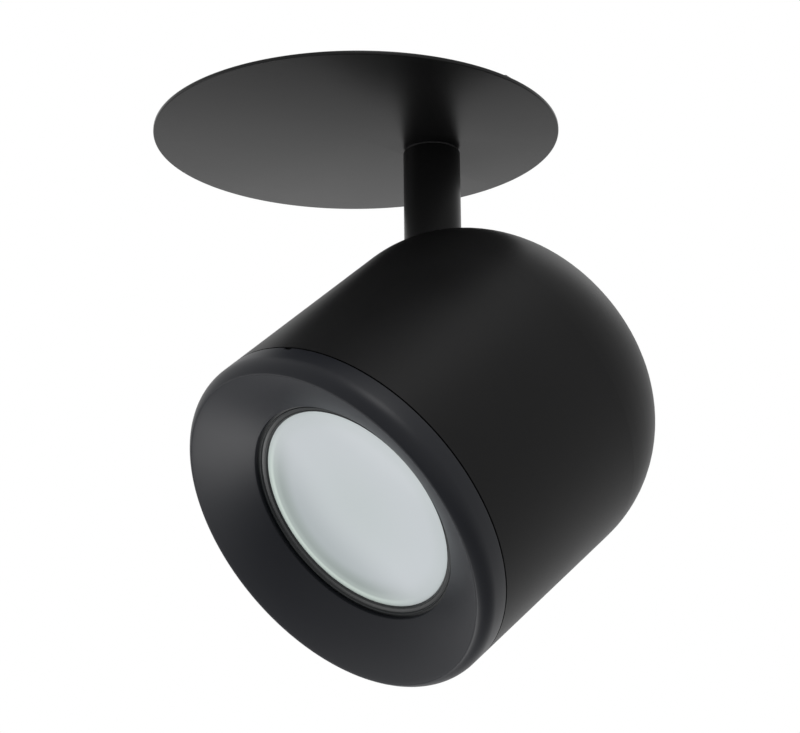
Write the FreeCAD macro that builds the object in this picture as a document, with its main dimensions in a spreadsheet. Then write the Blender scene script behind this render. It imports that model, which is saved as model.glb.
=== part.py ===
import FreeCAD, Part
import math
import os
import Sketcher

# Soffit downlight, millimetres.
# Frame: +Z up, origin at the centre of the ceiling face (the top of the plate's gasket).
# The plate is round, so X is only a reference: the azimuths of the stem and of the spring
# clips are counted from it. The head hangs from the stem on a knuckle and is modelled
# along its own axis about the pivot.

DOC = FreeCAD.newDocument("soffit_downlight")
SHEET = DOC.addObject("Spreadsheet::Sheet", "Sizes")

DRIVING = [
    # ceiling plate, gasket and the ring that enters the cut-out
    ("plate_radius", 50.0), ("plate_thickness", 1.0), ("plate_edge_break", 0.2),
    ("gasket_thickness", 1.2), ("gasket_gap", 3.75), ("gasket_inset", 3.5),
    ("ring_radius", 33.75), ("ring_height", 6.0), ("ring_wall", 2.0), ("ring_floor", 2.0),
    ("stud_radius", 2.0), ("stud_setback", 6.35), ("stud_length", 6.2), ("nut_radius", 3.8),
    ("nut_height", 3.2), ("stud_azimuth_1", 55.0), ("stud_azimuth_2", 190.0), ("stud_azimuth_3", 305.0),
    # stem and swivel
    ("stem_offset", 20.8), ("stem_azimuth", 25.8), ("stem_radius", 7.1), ("stem_wall", 2.1),
    ("stem_chamfer", 0.35), ("collar_thickness", 0.5), ("collar_inset", 0.5),
    ("nipple_wall", 1.8), ("nipple_top_length", 4.0), ("nipple_grip", 14.0),
    ("bush_wall", 1.6), ("bush_rim", 0.75), ("bush_flange", 1.0),
    ("washer_width", 2.4), ("washer_thickness", 1.0), ("wave_height", 1.2),
    ("tab_length", 2.0), ("tab_width", 3.0), ("lock_nut_wall", 2.6), ("lock_nut_height", 4.0),
    ("stop_pin_radius", 0.8), ("stop_pin_gap", 0.4), ("stop_pin_height", 4.6),
    ("outlet_cap_wall", 0.8), ("outlet_cap_thickness", 1.5), ("outlet_cap_skirt", 2.0),
    # pose in the photograph
    ("swivel_at_rest", 10.4), ("tilt_at_rest", 49.6), ("tilt_limit", 50.0),
    # knuckle
    ("pivot_drop", 75.9), ("pivot_radius", 3.0), ("eye_radius", 7.0), ("eye_half_width", 6.2),
    ("eye_to_tube", 9.5), ("knuckle_grip", 14.0), ("wire_bore_radius", 2.6),
    ("cross_pin_radius", 1.0), ("cross_pin_setback", 0.2), ("disc_room", 2.0), ("disc_radius", 6.6),
    ("cheek_thickness", 2.0), ("cheek_half_width", 8.0), ("yoke_base", 2.0),
    ("bolt_head_radius", 5.0), ("bolt_head_height", 3.2), ("bolt_nut_radius", 5.6),
    ("bolt_nut_height", 5.0), ("yoke_screw_spread", 14.0), ("yoke_wing", 19.0),
    # head housing
    ("front_reach", 41.4), ("rear_reach", 46.0), ("head_radius", 44.8), ("head_wall", 2.6),
    ("dome_depth", 27.2), ("dome_width", 22.4), ("dome_corner_radius", 19.5),
    ("slot_clearance", 0.7), ("boss_radius", 4.6), ("boss_setback", 4.2), ("boss_length", 14.0),
    # bezel, measured back from its front plane
    ("seam_depth", 8.2), ("seam_gap", 0.3), ("crest_width", 2.4), ("crest_depth", 4.4),
    ("lip_overlap", 4.4), ("lip_depth", 8.2), ("lip_thickness", 1.1), ("dish_bulge_radius", 70.0),
    ("spigot_length", 8.0), ("spigot_wall", 3.6), ("spigot_room", 2.4), ("pocket_wall", 2.4),
    ("relief_setback", 0.6), ("seal_groove", 1.7), ("seal_groove_width", 2.4), ("seal_wire", 0.95),
    ("seal_setback", 2.2), ("lug_height", 1.0), ("lug_width", 2.0), ("lug_angle", 10.0),
    ("lug_setback", 1.0), ("twist_angle", 20.0), ("notch_width", 2.2), ("notch_depth", 0.8),
    ("notch_azimuth", 19.5),
    # glass and its gasket
    ("glass_thickness", 4.0), ("glass_bevel", 0.5), ("gasket_side", 1.8),
    ("gasket_show", 2.4), ("gasket_front_lip", 0.9), ("gasket_rear_lip", 0.8),
    ("rear_lip_overlap", 3.2), ("rib_height", 0.3), ("circlip_thickness", 1.0),
    ("circlip_groove", 1.0), ("circlip_width", 2.6), ("circlip_gap_angle", 24.0),
    # light module
    ("module_gap", 1.2), ("carrier_thickness", 3.5), ("carrier_from_pivot", 10.0),
    ("board_radius", 20.0), ("board_thickness", 1.6), ("chip_size", 3.0), ("chip_height", 0.8),
    ("chip_circle", 8.5), ("reflector_wall", 1.2), ("reflector_base_room", 1.0),
    ("reflector_mouth_inset", 2.6), ("reflector_flange", 1.2), ("flange_hole_radius", 14.0),
    ("board_screw_circle", 17.3), ("gland_setback", 12.2), ("gland_azimuth", -30.0),
    ("gland_radius", 5.5), ("gland_shank_radius", 3.5), ("gland_bore_radius", 1.75), ("gland_length", 13.0),
    ("gland_bevel", 1.0), ("gland_bevel_length", 2.0), ("gland_nut_height", 3.0),
    # screws
    ("m3_radius", 1.5), ("m3_head_radius", 2.7), ("m3_head_height", 1.8),
    ("m4_radius", 2.0), ("m4_head_radius", 3.5), ("m4_head_height", 2.4), ("m4_length", 9.0),
    # spring clips
    ("clip_azimuth", -18.0), ("clip_setback", 6.95), ("clip_pivot_height", 6.6), ("clip_pin_radius", 2.0),
    ("clip_pin_head", 3.0), ("clip_pin_head_length", 0.6), ("clip_plate", 1.2),
    ("clip_inner_half", 5.8), ("clip_ear_radius", 3.8), ("clip_base_back", 6.5),
    ("arm_length", 13.5), ("arm_plate", 1.5), ("arm_side_gap", 0.6), ("arm_ear", 1.2),
    ("arm_ear_radius", 3.4), ("arm_start", 4.9), ("arm_droop", 12.0), ("pad_length", 5.0),
    ("pad_thickness", 3.6), ("pad_side", 0.4), ("wire_radius", 0.6), ("coil_radius", 3.4),
    ("coil_pitch", 1.75), ("coil_turns", 3.0), ("spring_leg", 7.5), ("tail_angle", 70.0),
    ("rivet_radius", 1.2), ("rivet_head_radius", 1.9), ("rivet_head", 0.7), ("rivet_spacing", 4.2),
    ("rivet_end_gap", 1.1), ("rivet_side_gap", 0.5),
    # wiring pieces on the ring's floor
    ("block_x", -2.0), ("block_setback", 12.55), ("block_length", 24.0), ("block_depth", 13.6),
    ("block_height", 12.0), ("block_pitch", 8.0), ("wire_entry_radius", 1.8), ("well_depth", 3.0),
    ("pole_screw_radius", 1.3), ("pole_screw_head", 2.4), ("block_bolt_head", 1.7), ("block_bolt_rise", 1.0),
    ("clamp_x", -4.0), ("clamp_y", -14.0), ("clamp_length", 25.0), ("clamp_width", 8.0),
    ("cable_radius", 3.5), ("clamp_wall", 2.0), ("clamp_screw_spread", 8.6),
    ("earth_x", 4.0), ("earth_y", -1.0), ("earth_tag_radius", 3.6), ("earth_tag", 0.8),
    # clearances
    ("fit_clearance", 0.0), ("running_clearance", 0.05), ("washer_clearance", 0.1),
    ("side_clearance", 0.3), ("spigot_clearance", 0.2),
]

for row, (alias, number) in enumerate(DRIVING, start=1):
    SHEET.set("A%d" % row, alias)
    SHEET.set("B%d" % row, str(number))
    SHEET.setAlias("B%d" % row, alias)
DOC.recompute()


class Size:
    """A size worked out from the sheet: its number and the formula that binds it."""

    def __init__(self, number, formula):
        self.number = number
        self.formula = formula

    def join(self, other, sign, flip=False):
        if not isinstance(other, Size):
            other = Size(float(other), repr(float(other)))
        left, right = (other, self) if flip else (self, other)
        number = {"+": lambda a, b: a + b, "-": lambda a, b: a - b,
                  "*": lambda a, b: a * b, "/": lambda a, b: a / b}[sign](left.number, right.number)
        return Size(number, "(%s %s %s)" % (left.formula, sign, right.formula))

    def __add__(self, other):
        return self.join(other, "+")

    def __radd__(self, other):
        return self.join(other, "+", True)

    def __sub__(self, other):
        return self.join(other, "-")

    def __rsub__(self, other):
        return self.join(other, "-", True)

    def __mul__(self, other):
        return self.join(other, "*")

    def __rmul__(self, other):
        return self.join(other, "*", True)

    def __truediv__(self, other):
        return self.join(other, "/")

    def __neg__(self):
        return Size(0.0, "0.0") - self


def cosine(angle):
    return Size(math.cos(math.radians(angle.number)), "cos(%s)" % angle.formula)


def sine(angle):
    return Size(math.sin(math.radians(angle.number)), "sin(%s)" % angle.formula)


class Sheet:
    """Reads a driving size by its alias."""

    def __getattr__(self, alias):
        return Size(float(getattr(SHEET, alias)), "Sizes." + alias)


D = Sheet()
ZERO = Size(0.0, "0.0")
NODES = []


def bind(thing, prop, size):
    if not isinstance(size, Size):
        size = Size(float(size), repr(float(size)))
    thing.setExpression(prop, size.formula)


def origin_part(body, role):
    return [feature for feature in body.Origin.OriginFeatures if feature.Role == role][0]


def vector(x, y, z):
    return FreeCAD.Vector(*[value.number if isinstance(value, Size) else value for value in (x, y, z)])


def new_body(label, place=None):
    body = DOC.addObject("PartDesign::Body", label)
    body.Label = label
    if place is not None:
        body.Placement = place
    return body


def keep(node):
    NODES.append(node)
    return node


def new_sketch(body, plane, at=None, turn=None):
    """Sketch on one of the body's own planes, moved by at (in the sketch's own axes) and turned."""
    sketch = body.newObject("Sketcher::SketchObject", body.Name + "_sketch")
    sketch.AttachmentSupport = [(origin_part(body, plane), "")]
    sketch.MapMode = "FlatFace"
    if turn is not None:
        axis, angle = turn
        sketch.AttachmentOffset = FreeCAD.Placement(FreeCAD.Vector(), FreeCAD.Rotation(axis, angle.number))
        bind(sketch, "AttachmentOffset.Rotation.Angle", angle)
    for axis_name, value in zip("xyz", at or ()):
        bind(sketch, "AttachmentOffset.Base." + axis_name, value)
    return sketch


def pin_point(sketch, geometry, end, x, y):
    """Ties one point of the sketch to its coordinates."""
    here = (geometry, end)
    for kind, value, axis in (("DistanceX", x, -2), ("DistanceY", y, -1)):
        if abs(value.number) < 1e-9:
            sketch.addConstraint(Sketcher.Constraint("PointOnObject", *here, axis))
        else:
            index = sketch.addConstraint(Sketcher.Constraint(kind, -1, 1, *here, value.number))
            bind(sketch, "Constraints[%d]" % index, value)


def as_size(value):
    return value if isinstance(value, Size) else Size(float(value), repr(float(value)))


def outline(sketch, points):
    """Closed outline through (x, y). A third value bends the run from that point to the next
    into an arc of that radius, bulging to the right of the run, or to the left where negative."""
    points = [tuple(as_size(value) for value in point) for point in points]
    first = sketch.GeometryCount
    for here, there in zip(points, points[1:] + points[:1]):
        start = vector(here[0], here[1], 0)
        end = vector(there[0], there[1], 0)
        if len(here) == 2:
            sketch.addGeometry(Part.LineSegment(start, end))
            continue
        radius = here[2].number
        run = end - start
        sagitta = abs(radius) - math.sqrt(radius ** 2 - (run.Length / 2) ** 2)
        right = FreeCAD.Vector(run.y, -run.x, 0).normalize()
        middle = (start + end) * 0.5 + right * math.copysign(sagitta, radius)
        sketch.addGeometry(Part.Arc(start, middle, end))
    for index, here in enumerate(points):
        geometry = first + index
        follower = first + (index + 1) % len(points)
        there = points[(index + 1) % len(points)]
        end = 1 if bends_left(here) else 2
        begin = 2 if bends_left(there) else 1
        sketch.addConstraint(Sketcher.Constraint("Coincident", geometry, end, follower, begin))
        pin_point(sketch, geometry, 3 - end, here[0], here[1])
        if len(here) == 3:
            bend_run(sketch, geometry, here, there)
    return sketch


def bends_left(point):
    """Such an arc is drawn from its far end, so its two ends change places."""
    return len(point) == 3 and point[2].number < 0


def bend_run(sketch, geometry, here, there):
    """Sets an arc's radius, or its centre where it is half a circle on a level or upright run."""
    radius = here[2] if here[2].number > 0 else -here[2]
    chord = math.hypot(there[0].number - here[0].number, there[1].number - here[1].number)
    if abs(chord - 2 * radius.number) > 1e-6:
        row = sketch.addConstraint(Sketcher.Constraint("Radius", geometry, radius.number))
        bind(sketch, "Constraints[%d]" % row, radius)
        return
    level = abs(there[1].number - here[1].number) < 1e-6
    kind, value, axis = ("DistanceY", here[1], -1) if level else ("DistanceX", here[0], -2)
    if abs(value.number) < 1e-9:
        sketch.addConstraint(Sketcher.Constraint("PointOnObject", geometry, 3, axis))
        return
    row = sketch.addConstraint(Sketcher.Constraint(kind, -1, 1, geometry, 3, value.number))
    bind(sketch, "Constraints[%d]" % row, value)


def circle(sketch, radius, x=ZERO, y=ZERO):
    x, y, radius = as_size(x), as_size(y), as_size(radius)
    geometry = sketch.addGeometry(Part.Circle(vector(x, y, 0), FreeCAD.Vector(0, 0, 1), radius.number))
    row = sketch.addConstraint(Sketcher.Constraint("Radius", geometry, radius.number))
    bind(sketch, "Constraints[%d]" % row, radius)
    pin_point(sketch, geometry, 3, x, y)
    return sketch


def rectangle(sketch, x0, y0, x1, y1):
    return outline(sketch, [(x0, y0), (x1, y0), (x1, y1), (x0, y1)])


def feature(body, kind, sketch, **values):
    """Pad, pocket, revolution or groove from a sketch. Sizes among the values are bound."""
    made = body.newObject("PartDesign::" + kind, body.Name + "_" + kind.lower())
    made.Profile = (sketch, [""])
    sketch.Visibility = False
    if kind in ("Revolution", "Groove"):
        made.ReferenceAxis = (sketch, ["V_Axis"])
    for prop, value in values.items():
        if isinstance(value, Size):
            setattr(made, prop, value.number)
            bind(made, prop, value)
        else:
            setattr(made, prop, value)
    return made


def turned(label, points, place=None, at=None, copies=1):
    """A piece turned about its own Z axis from an outline of (radius, height)."""
    body = new_body(label, place)
    sketch = outline(new_sketch(body, "XZ_Plane", at), points)
    piece = feature(body, "Revolution", sketch, Angle=360)
    if copies > 1:
        around(body, [piece], copies)
    return body


def around(body, features, copies, turn=360):
    """Repeats features about the body's Z axis."""
    DOC.recompute()
    pattern = body.newObject("PartDesign::PolarPattern", body.Name + "_pattern")
    pattern.Originals = features
    pattern.Axis = (origin_part(body, "Z_Axis"), [""])
    pattern.Angle = turn
    pattern.Occurrences = copies
    body.Tip = pattern
    return pattern


def dressed(body, kind, size, choose):
    """Fillet or chamfer on the edges that choose(edge) picks."""
    DOC.recompute()
    base = body.Tip
    names = ["Edge%d" % (index + 1) for index, edge in enumerate(base.Shape.Edges) if choose(edge)]
    made = body.newObject("PartDesign::" + kind, body.Name + "_" + kind.lower())
    made.Base = (base, names)
    bind(made, "Radius" if kind == "Fillet" else "Size", size)
    return made


def tube(label, inner, outer, low, high, place=None):
    return turned(label, [(inner, low), (outer, low), (outer, high), (inner, high)], place)


def hexagon(radius, x=ZERO, y=ZERO):
    return [(x + radius * cosine(as_size(60 * side)), y + radius * sine(as_size(60 * side)))
            for side in range(6)]


def nut(label, radius, bore, low, height, place=None, x=ZERO, y=ZERO):
    body = new_body(label, place)
    sketch = outline(new_sketch(body, "XY_Plane", (ZERO, ZERO, low)), hexagon(radius, x, y))
    circle(sketch, bore, x, y)
    feature(body, "Pad", sketch, Length=height)
    return body


# ---------------------------------------------------------------- places

PLATE_BACK = -D.gasket_thickness
PLATE_FACE = PLATE_BACK - D.plate_thickness
FLOOR_TOP = PLATE_BACK + D.ring_floor
STEM_X = D.stem_offset * cosine(D.stem_azimuth)
STEM_Y = D.stem_offset * sine(D.stem_azimuth)
PIVOT_Z = PLATE_FACE - D.pivot_drop
HEAD_AZIMUTH = D.stem_azimuth + 180 + D.swivel_at_rest


def world_place(x, y, z, turn=0.0):
    return FreeCAD.Placement(vector(x, y, z), FreeCAD.Rotation(FreeCAD.Vector(0, 0, 1), turn))


def stem_place():
    """On the stem's axis at the ceiling face, with X along the tilt axis."""
    return world_place(STEM_X, STEM_Y, 0, HEAD_AZIMUTH.number + 90)


def head_place():
    """At the pivot, with Z along the head to its front and X along the tilt axis."""
    turn = math.radians(HEAD_AZIMUTH.number)
    tilt = math.radians(D.tilt_at_rest.number)
    side = FreeCAD.Vector(-math.sin(turn), math.cos(turn), 0)
    front = FreeCAD.Vector(math.sin(tilt) * math.cos(turn), math.sin(tilt) * math.sin(turn), -math.cos(tilt))
    return FreeCAD.Placement(vector(STEM_X, STEM_Y, PIVOT_Z),
                             FreeCAD.Rotation(side, front.cross(side), front, "ZXY"))


# ---------------------------------------------------------------- ceiling plate and mounting ring

def canopy_plate():
    body = new_body("canopy_plate")
    sketch = new_sketch(body, "XY_Plane", (ZERO, ZERO, PLATE_FACE))
    circle(sketch, D.plate_radius)
    circle(sketch, BUSH_RADIUS + D.fit_clearance, STEM_X, STEM_Y)
    feature(body, "Pad", sketch, Length=D.plate_thickness)
    studs = new_sketch(body, "XY_Plane", (ZERO, ZERO, PLATE_BACK))
    for x, y in stud_points():
        circle(studs, D.stud_radius, x, y)
    feature(body, "Pad", studs, Length=D.stud_length)
    dressed(body, "Chamfer", D.plate_edge_break, lambda edge: is_ring(edge, D.plate_radius))
    return keep(body)


def is_ring(edge, radius):
    return edge.Curve.TypeId == "Part::GeomCircle" and abs(edge.Curve.Radius - radius.number) < 1e-6


def stud_points():
    spread = D.ring_radius - D.stud_setback
    return [(spread * cosine(azimuth), spread * sine(azimuth))
            for azimuth in (D.stud_azimuth_1, D.stud_azimuth_2, D.stud_azimuth_3)]


def canopy_gasket():
    inner = D.ring_radius + D.gasket_gap
    return keep(tube("canopy_gasket", inner, D.plate_radius - D.gasket_inset, PLATE_BACK, ZERO))


def mounting_ring():
    top = PLATE_BACK + D.ring_height
    inner = D.ring_radius - D.ring_wall
    body = turned("mounting_ring", [
        (ZERO, PLATE_BACK), (D.ring_radius, PLATE_BACK), (D.ring_radius, top),
        (inner, top), (inner, FLOOR_TOP), (ZERO, FLOOR_TOP)])
    holes = new_sketch(body, "XY_Plane", (ZERO, ZERO, PLATE_BACK))
    circle(holes, BUSH_RADIUS + D.fit_clearance, STEM_X, STEM_Y)
    for x, y in stud_points():
        circle(holes, D.stud_radius + D.running_clearance, x, y)
    for x, y in clamp_screw_points() + block_screw_points() + [(D.earth_x, D.earth_y)]:
        circle(holes, D.m3_radius, x, y)
    for side in (-1, 1):
        for x, y in rivet_points():
            circle(holes, D.rivet_radius, x * side, y * side)
    feature(body, "Pocket", holes, Length=D.ring_floor, Reversed=True)
    return keep(body)


def stud_nuts():
    body = new_body("stud_nuts")
    sketch = new_sketch(body, "XY_Plane", (ZERO, ZERO, FLOOR_TOP))
    for x, y in stud_points():
        outline(sketch, hexagon(D.nut_radius, x, y))
        circle(sketch, D.stud_radius, x, y)
    feature(body, "Pad", sketch, Length=D.nut_height)
    return keep(body)


# ---------------------------------------------------------------- swivel

NIPPLE_RADIUS = D.stem_radius - D.stem_wall
BUSH_RADIUS = NIPPLE_RADIUS + D.running_clearance + D.bush_wall
NIPPLE_BORE = NIPPLE_RADIUS - D.nipple_wall
WASHER_RADIUS = NIPPLE_RADIUS + D.washer_width
BUSH_TOP = FLOOR_TOP + D.bush_flange
DISC_LOW = BUSH_TOP + D.washer_clearance
TAB_LOW = DISC_LOW + D.washer_thickness
WAVE_LOW = TAB_LOW + D.washer_thickness
LOCK_LOW = WAVE_LOW + D.wave_height
NIPPLE_TOP = LOCK_LOW + D.lock_nut_height + D.nipple_top_length
COLLAR_TOP = PLATE_FACE - D.washer_clearance
STEM_TOP = COLLAR_TOP - D.collar_thickness
STEM_LOW = PIVOT_Z + D.eye_to_tube


def swivel_bush():
    bore = NIPPLE_RADIUS + D.running_clearance
    rim = BUSH_RADIUS + D.bush_rim
    return keep(turned("swivel_bush", [
        (bore, PLATE_FACE), (BUSH_RADIUS, PLATE_FACE), (BUSH_RADIUS, FLOOR_TOP),
        (rim, FLOOR_TOP), (rim, BUSH_TOP), (bore, BUSH_TOP)], stem_place()))


def stop_pin():
    """Stands beside the swivel, on the line from the stem to the plate's centre."""
    body = new_body("stop_pin", world_place(STEM_X, STEM_Y, 0, D.stem_azimuth.number + 180))
    beside = WASHER_RADIUS + D.stop_pin_gap + D.stop_pin_radius
    sketch = circle(new_sketch(body, "XY_Plane", (ZERO, ZERO, FLOOR_TOP)), D.stop_pin_radius, beside)
    feature(body, "Pad", sketch, Length=D.stop_pin_height)
    return keep(body)


def stem_tube():
    body = tube("stem_tube", NIPPLE_RADIUS, D.stem_radius, STEM_LOW, STEM_TOP, stem_place())
    dressed(body, "Chamfer", D.stem_chamfer, lambda edge: is_ring(edge, D.stem_radius))
    return keep(body)


def swivel_pieces():
    """The collar under the plate, then what is stacked on the nipple above the bush."""
    place = stem_place()
    keep(tube("thrust_collar", NIPPLE_RADIUS, D.stem_radius - D.collar_inset, STEM_TOP, COLLAR_TOP, place))
    keep(tube("threaded_nipple", NIPPLE_BORE, NIPPLE_RADIUS, STEM_TOP - D.nipple_grip, NIPPLE_TOP, place))
    keep(tube("friction_disc", NIPPLE_RADIUS, WASHER_RADIUS, DISC_LOW, TAB_LOW, place))
    keep(tab_washer(place))
    keep(wave_washer(place))
    lock_radius = NIPPLE_RADIUS + D.lock_nut_wall
    keep(nut("swivel_lock_nut", lock_radius, NIPPLE_RADIUS, LOCK_LOW, D.lock_nut_height, place))
    cap = NIPPLE_RADIUS + D.outlet_cap_wall
    cap_low = NIPPLE_TOP - D.outlet_cap_skirt
    cap_top = NIPPLE_TOP + D.outlet_cap_thickness
    keep(turned("wire_outlet_cap", [
        (NIPPLE_RADIUS, cap_low), (cap, cap_low), (cap, cap_top),
        (NIPPLE_BORE, cap_top), (NIPPLE_BORE, NIPPLE_TOP), (NIPPLE_RADIUS, NIPPLE_TOP)], place))


def tab_washer(place):
    """Keyed washer whose tab meets the stop pin. It points away from the head."""
    body = new_body("tab_washer", place)
    sketch = circle(new_sketch(body, "XY_Plane", (ZERO, ZERO, TAB_LOW)), WASHER_RADIUS)
    circle(sketch, NIPPLE_RADIUS)
    feature(body, "Pad", sketch, Length=D.washer_thickness)
    tab = new_sketch(body, "XY_Plane", (ZERO, ZERO, TAB_LOW))
    half = D.tab_width / 2
    rectangle(tab, -half, (NIPPLE_RADIUS + WASHER_RADIUS) / 2, half, WASHER_RADIUS + D.tab_length)
    feature(body, "Pad", tab, Length=D.washer_thickness)
    return body


def wave_washer(place):
    """Coned spring washer, drawn pressed."""
    rim = WASHER_RADIUS - D.collar_inset
    step = D.wave_height / 2
    return turned("spring_washer", [
        (NIPPLE_RADIUS, WAVE_LOW + step), (rim, WAVE_LOW),
        (rim, WAVE_LOW + step), (NIPPLE_RADIUS, LOCK_LOW)], place)


# ---------------------------------------------------------------- knuckle

CHEEK_INNER = D.eye_half_width + D.disc_room
CHEEK_OUTER = CHEEK_INNER + D.cheek_thickness


def knuckle():
    """Eye on the pivot and a spigot up into the stem, with a channel for the wires."""
    body = new_body("knuckle", stem_place())
    spigot_top = STEM_LOW + D.knuckle_grip
    spigot = outline(new_sketch(body, "XZ_Plane"), [
        (ZERO, STEM_LOW), (NIPPLE_RADIUS, STEM_LOW), (NIPPLE_RADIUS, spigot_top), (ZERO, spigot_top)])
    feature(body, "Revolution", spigot, Angle=360)
    eye = new_sketch(body, "YZ_Plane")
    half = D.eye_radius
    outline(eye, [(-half, PIVOT_Z, half), (half, PIVOT_Z), (half, STEM_LOW), (-half, STEM_LOW)])
    feature(body, "Pad", eye, Length=D.eye_half_width * 2, Midplane=True)
    bore = circle(new_sketch(body, "YZ_Plane"), D.pivot_radius + D.running_clearance, ZERO, PIVOT_Z)
    feature(body, "Pocket", bore, Length=D.eye_half_width * 4, Midplane=True)
    wires = circle(new_sketch(body, "XY_Plane", (ZERO, ZERO, spigot_top)), D.wire_bore_radius)
    feature(body, "Pocket", wires, Length=D.knuckle_grip + D.eye_to_tube - D.eye_radius + D.wire_bore_radius)
    outlet_z = STEM_LOW - D.eye_to_tube + D.eye_radius
    outlet = circle(new_sketch(body, "XZ_Plane"), D.wire_bore_radius, ZERO, outlet_z)
    feature(body, "Pocket", outlet, Length=D.eye_radius * 2, Reversed=True)
    pin = circle(new_sketch(body, "YZ_Plane"), D.cross_pin_radius, ZERO, STEM_LOW + D.knuckle_grip / 2)
    feature(body, "Pocket", pin, Length=D.eye_half_width * 4, Midplane=True)
    return keep(body)


def across_x(label, radius, low, high, place, z=ZERO, bore=None):
    """Cylinder or ring along X between low and high."""
    body = new_body(label, place)
    sketch = circle(new_sketch(body, "YZ_Plane", (ZERO, ZERO, low)), radius, ZERO, z)
    if bore is not None:
        circle(sketch, bore, ZERO, z)
    feature(body, "Pad", sketch, Length=high - low)
    return body


def knuckle_pieces():
    place = stem_place()
    reach = NIPPLE_RADIUS - D.cross_pin_setback
    pin_z = STEM_LOW + D.knuckle_grip / 2
    keep(across_x("knuckle_cross_pin", D.cross_pin_radius, -reach, reach, place, pin_z))
    discs = new_body("tilt_friction_discs", place)
    thick = D.disc_room - D.washer_clearance
    for low in (D.eye_half_width, -D.eye_half_width - thick):
        ring = circle(new_sketch(discs, "YZ_Plane", (ZERO, ZERO, low)), D.disc_radius, ZERO, PIVOT_Z)
        circle(ring, D.pivot_radius + D.running_clearance, ZERO, PIVOT_Z)
        feature(discs, "Pad", ring, Length=thick)
    keep(discs)


def pivot_yoke():
    """U bracket behind the carrier: two cheeks round the knuckle and a winged base."""
    body = new_body("pivot_yoke", head_place())
    top = D.carrier_from_pivot
    low = top - D.yoke_base
    base = rectangle(new_sketch(body, "XY_Plane", (ZERO, ZERO, low)),
                     -D.yoke_wing, -D.cheek_half_width, D.yoke_wing, D.cheek_half_width)
    feature(body, "Pad", base, Length=D.yoke_base)
    cheek = outline(new_sketch(body, "YZ_Plane"), [
        (-D.cheek_half_width, ZERO, D.cheek_half_width), (D.cheek_half_width, ZERO),
        (D.cheek_half_width, low + D.yoke_base / 2), (-D.cheek_half_width, low + D.yoke_base / 2)])
    feature(body, "Pad", cheek, Length=CHEEK_OUTER * 2, Midplane=True)
    room = rectangle(new_sketch(body, "XZ_Plane"), -CHEEK_INNER, -D.cheek_half_width * 2, CHEEK_INNER, low)
    feature(body, "Pocket", room, Length=D.cheek_half_width * 4, Midplane=True)
    bolt = circle(new_sketch(body, "YZ_Plane"), D.pivot_radius + D.fit_clearance)
    feature(body, "Pocket", bolt, Length=CHEEK_OUTER * 4, Midplane=True)
    screws = new_sketch(body, "XY_Plane", (ZERO, ZERO, low))
    for side in (-1, 1):
        circle(screws, D.m3_radius + D.fit_clearance, D.yoke_screw_spread * side)
    feature(body, "Pocket", screws, Length=D.yoke_base, Reversed=True)
    return keep(body)


def pivot_bolt():
    body = across_x("pivot_bolt", D.pivot_radius, -CHEEK_OUTER - D.bolt_nut_height, CHEEK_OUTER, head_place())
    head = circle(new_sketch(body, "YZ_Plane", (ZERO, ZERO, CHEEK_OUTER)), D.bolt_head_radius)
    feature(body, "Pad", head, Length=D.bolt_head_height)
    return keep(body)


def pivot_nut():
    body = new_body("pivot_nut", head_place())
    sketch = new_sketch(body, "YZ_Plane", (ZERO, ZERO, -CHEEK_OUTER - D.bolt_nut_height))
    outline(sketch, hexagon(D.bolt_nut_radius))
    circle(sketch, D.pivot_radius)
    feature(body, "Pad", sketch, Length=D.bolt_nut_height)
    return keep(body)


def screws(label, points, seat, radius, length, head_radius, head_height, place, up=1):
    """Group of pan head screws. Their heads stand on the plane z = seat, up or down."""
    body = new_body(label, place)
    shank = new_sketch(body, "XY_Plane", (ZERO, ZERO, seat))
    head = new_sketch(body, "XY_Plane", (ZERO, ZERO, seat))
    for x, y in points:
        circle(shank, radius, x, y)
        circle(head, head_radius, x, y)
    feature(body, "Pad", shank, Length=length, Reversed=up > 0)
    feature(body, "Pad", head, Length=head_height, Reversed=up < 0)
    return keep(body)


# ---------------------------------------------------------------- head

FRONT = D.front_reach
SEAM = FRONT - D.seam_depth
HOUSING_FRONT = SEAM - D.seam_gap
DOME_START = D.dome_depth - D.rear_reach
BORE = D.head_radius - D.head_wall
SPIGOT = BORE - D.spigot_clearance
POCKET = SPIGOT - D.spigot_wall - D.spigot_room - D.pocket_wall
BOSS_CIRCLE = BORE - D.boss_setback
SPIGOT_REAR = SEAM - D.spigot_length
LUG_REAR = SPIGOT_REAR + D.lug_setback
LUG_FRONT = LUG_REAR + D.lug_width


def dome(inset):
    """Rear of the housing at that distance inside its outer face: wall, two arcs, flat."""
    wall = D.head_radius - inset
    wide = D.dome_width - inset
    deep = D.dome_depth - inset
    corner = D.dome_corner_radius - inset
    shoulder = (wide * wide + (deep - corner) * (deep - corner) - corner * corner) / (2 * (wide - corner))
    rear = inset - D.rear_reach
    meet_x = wall - wide + corner * (shoulder - wide) / (shoulder - corner)
    meet_z = rear + corner - corner * (deep - corner) / (shoulder - corner)
    return [(ZERO, rear), (wall - wide, rear, corner), (meet_x, meet_z, shoulder), (wall, DOME_START)]


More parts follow.
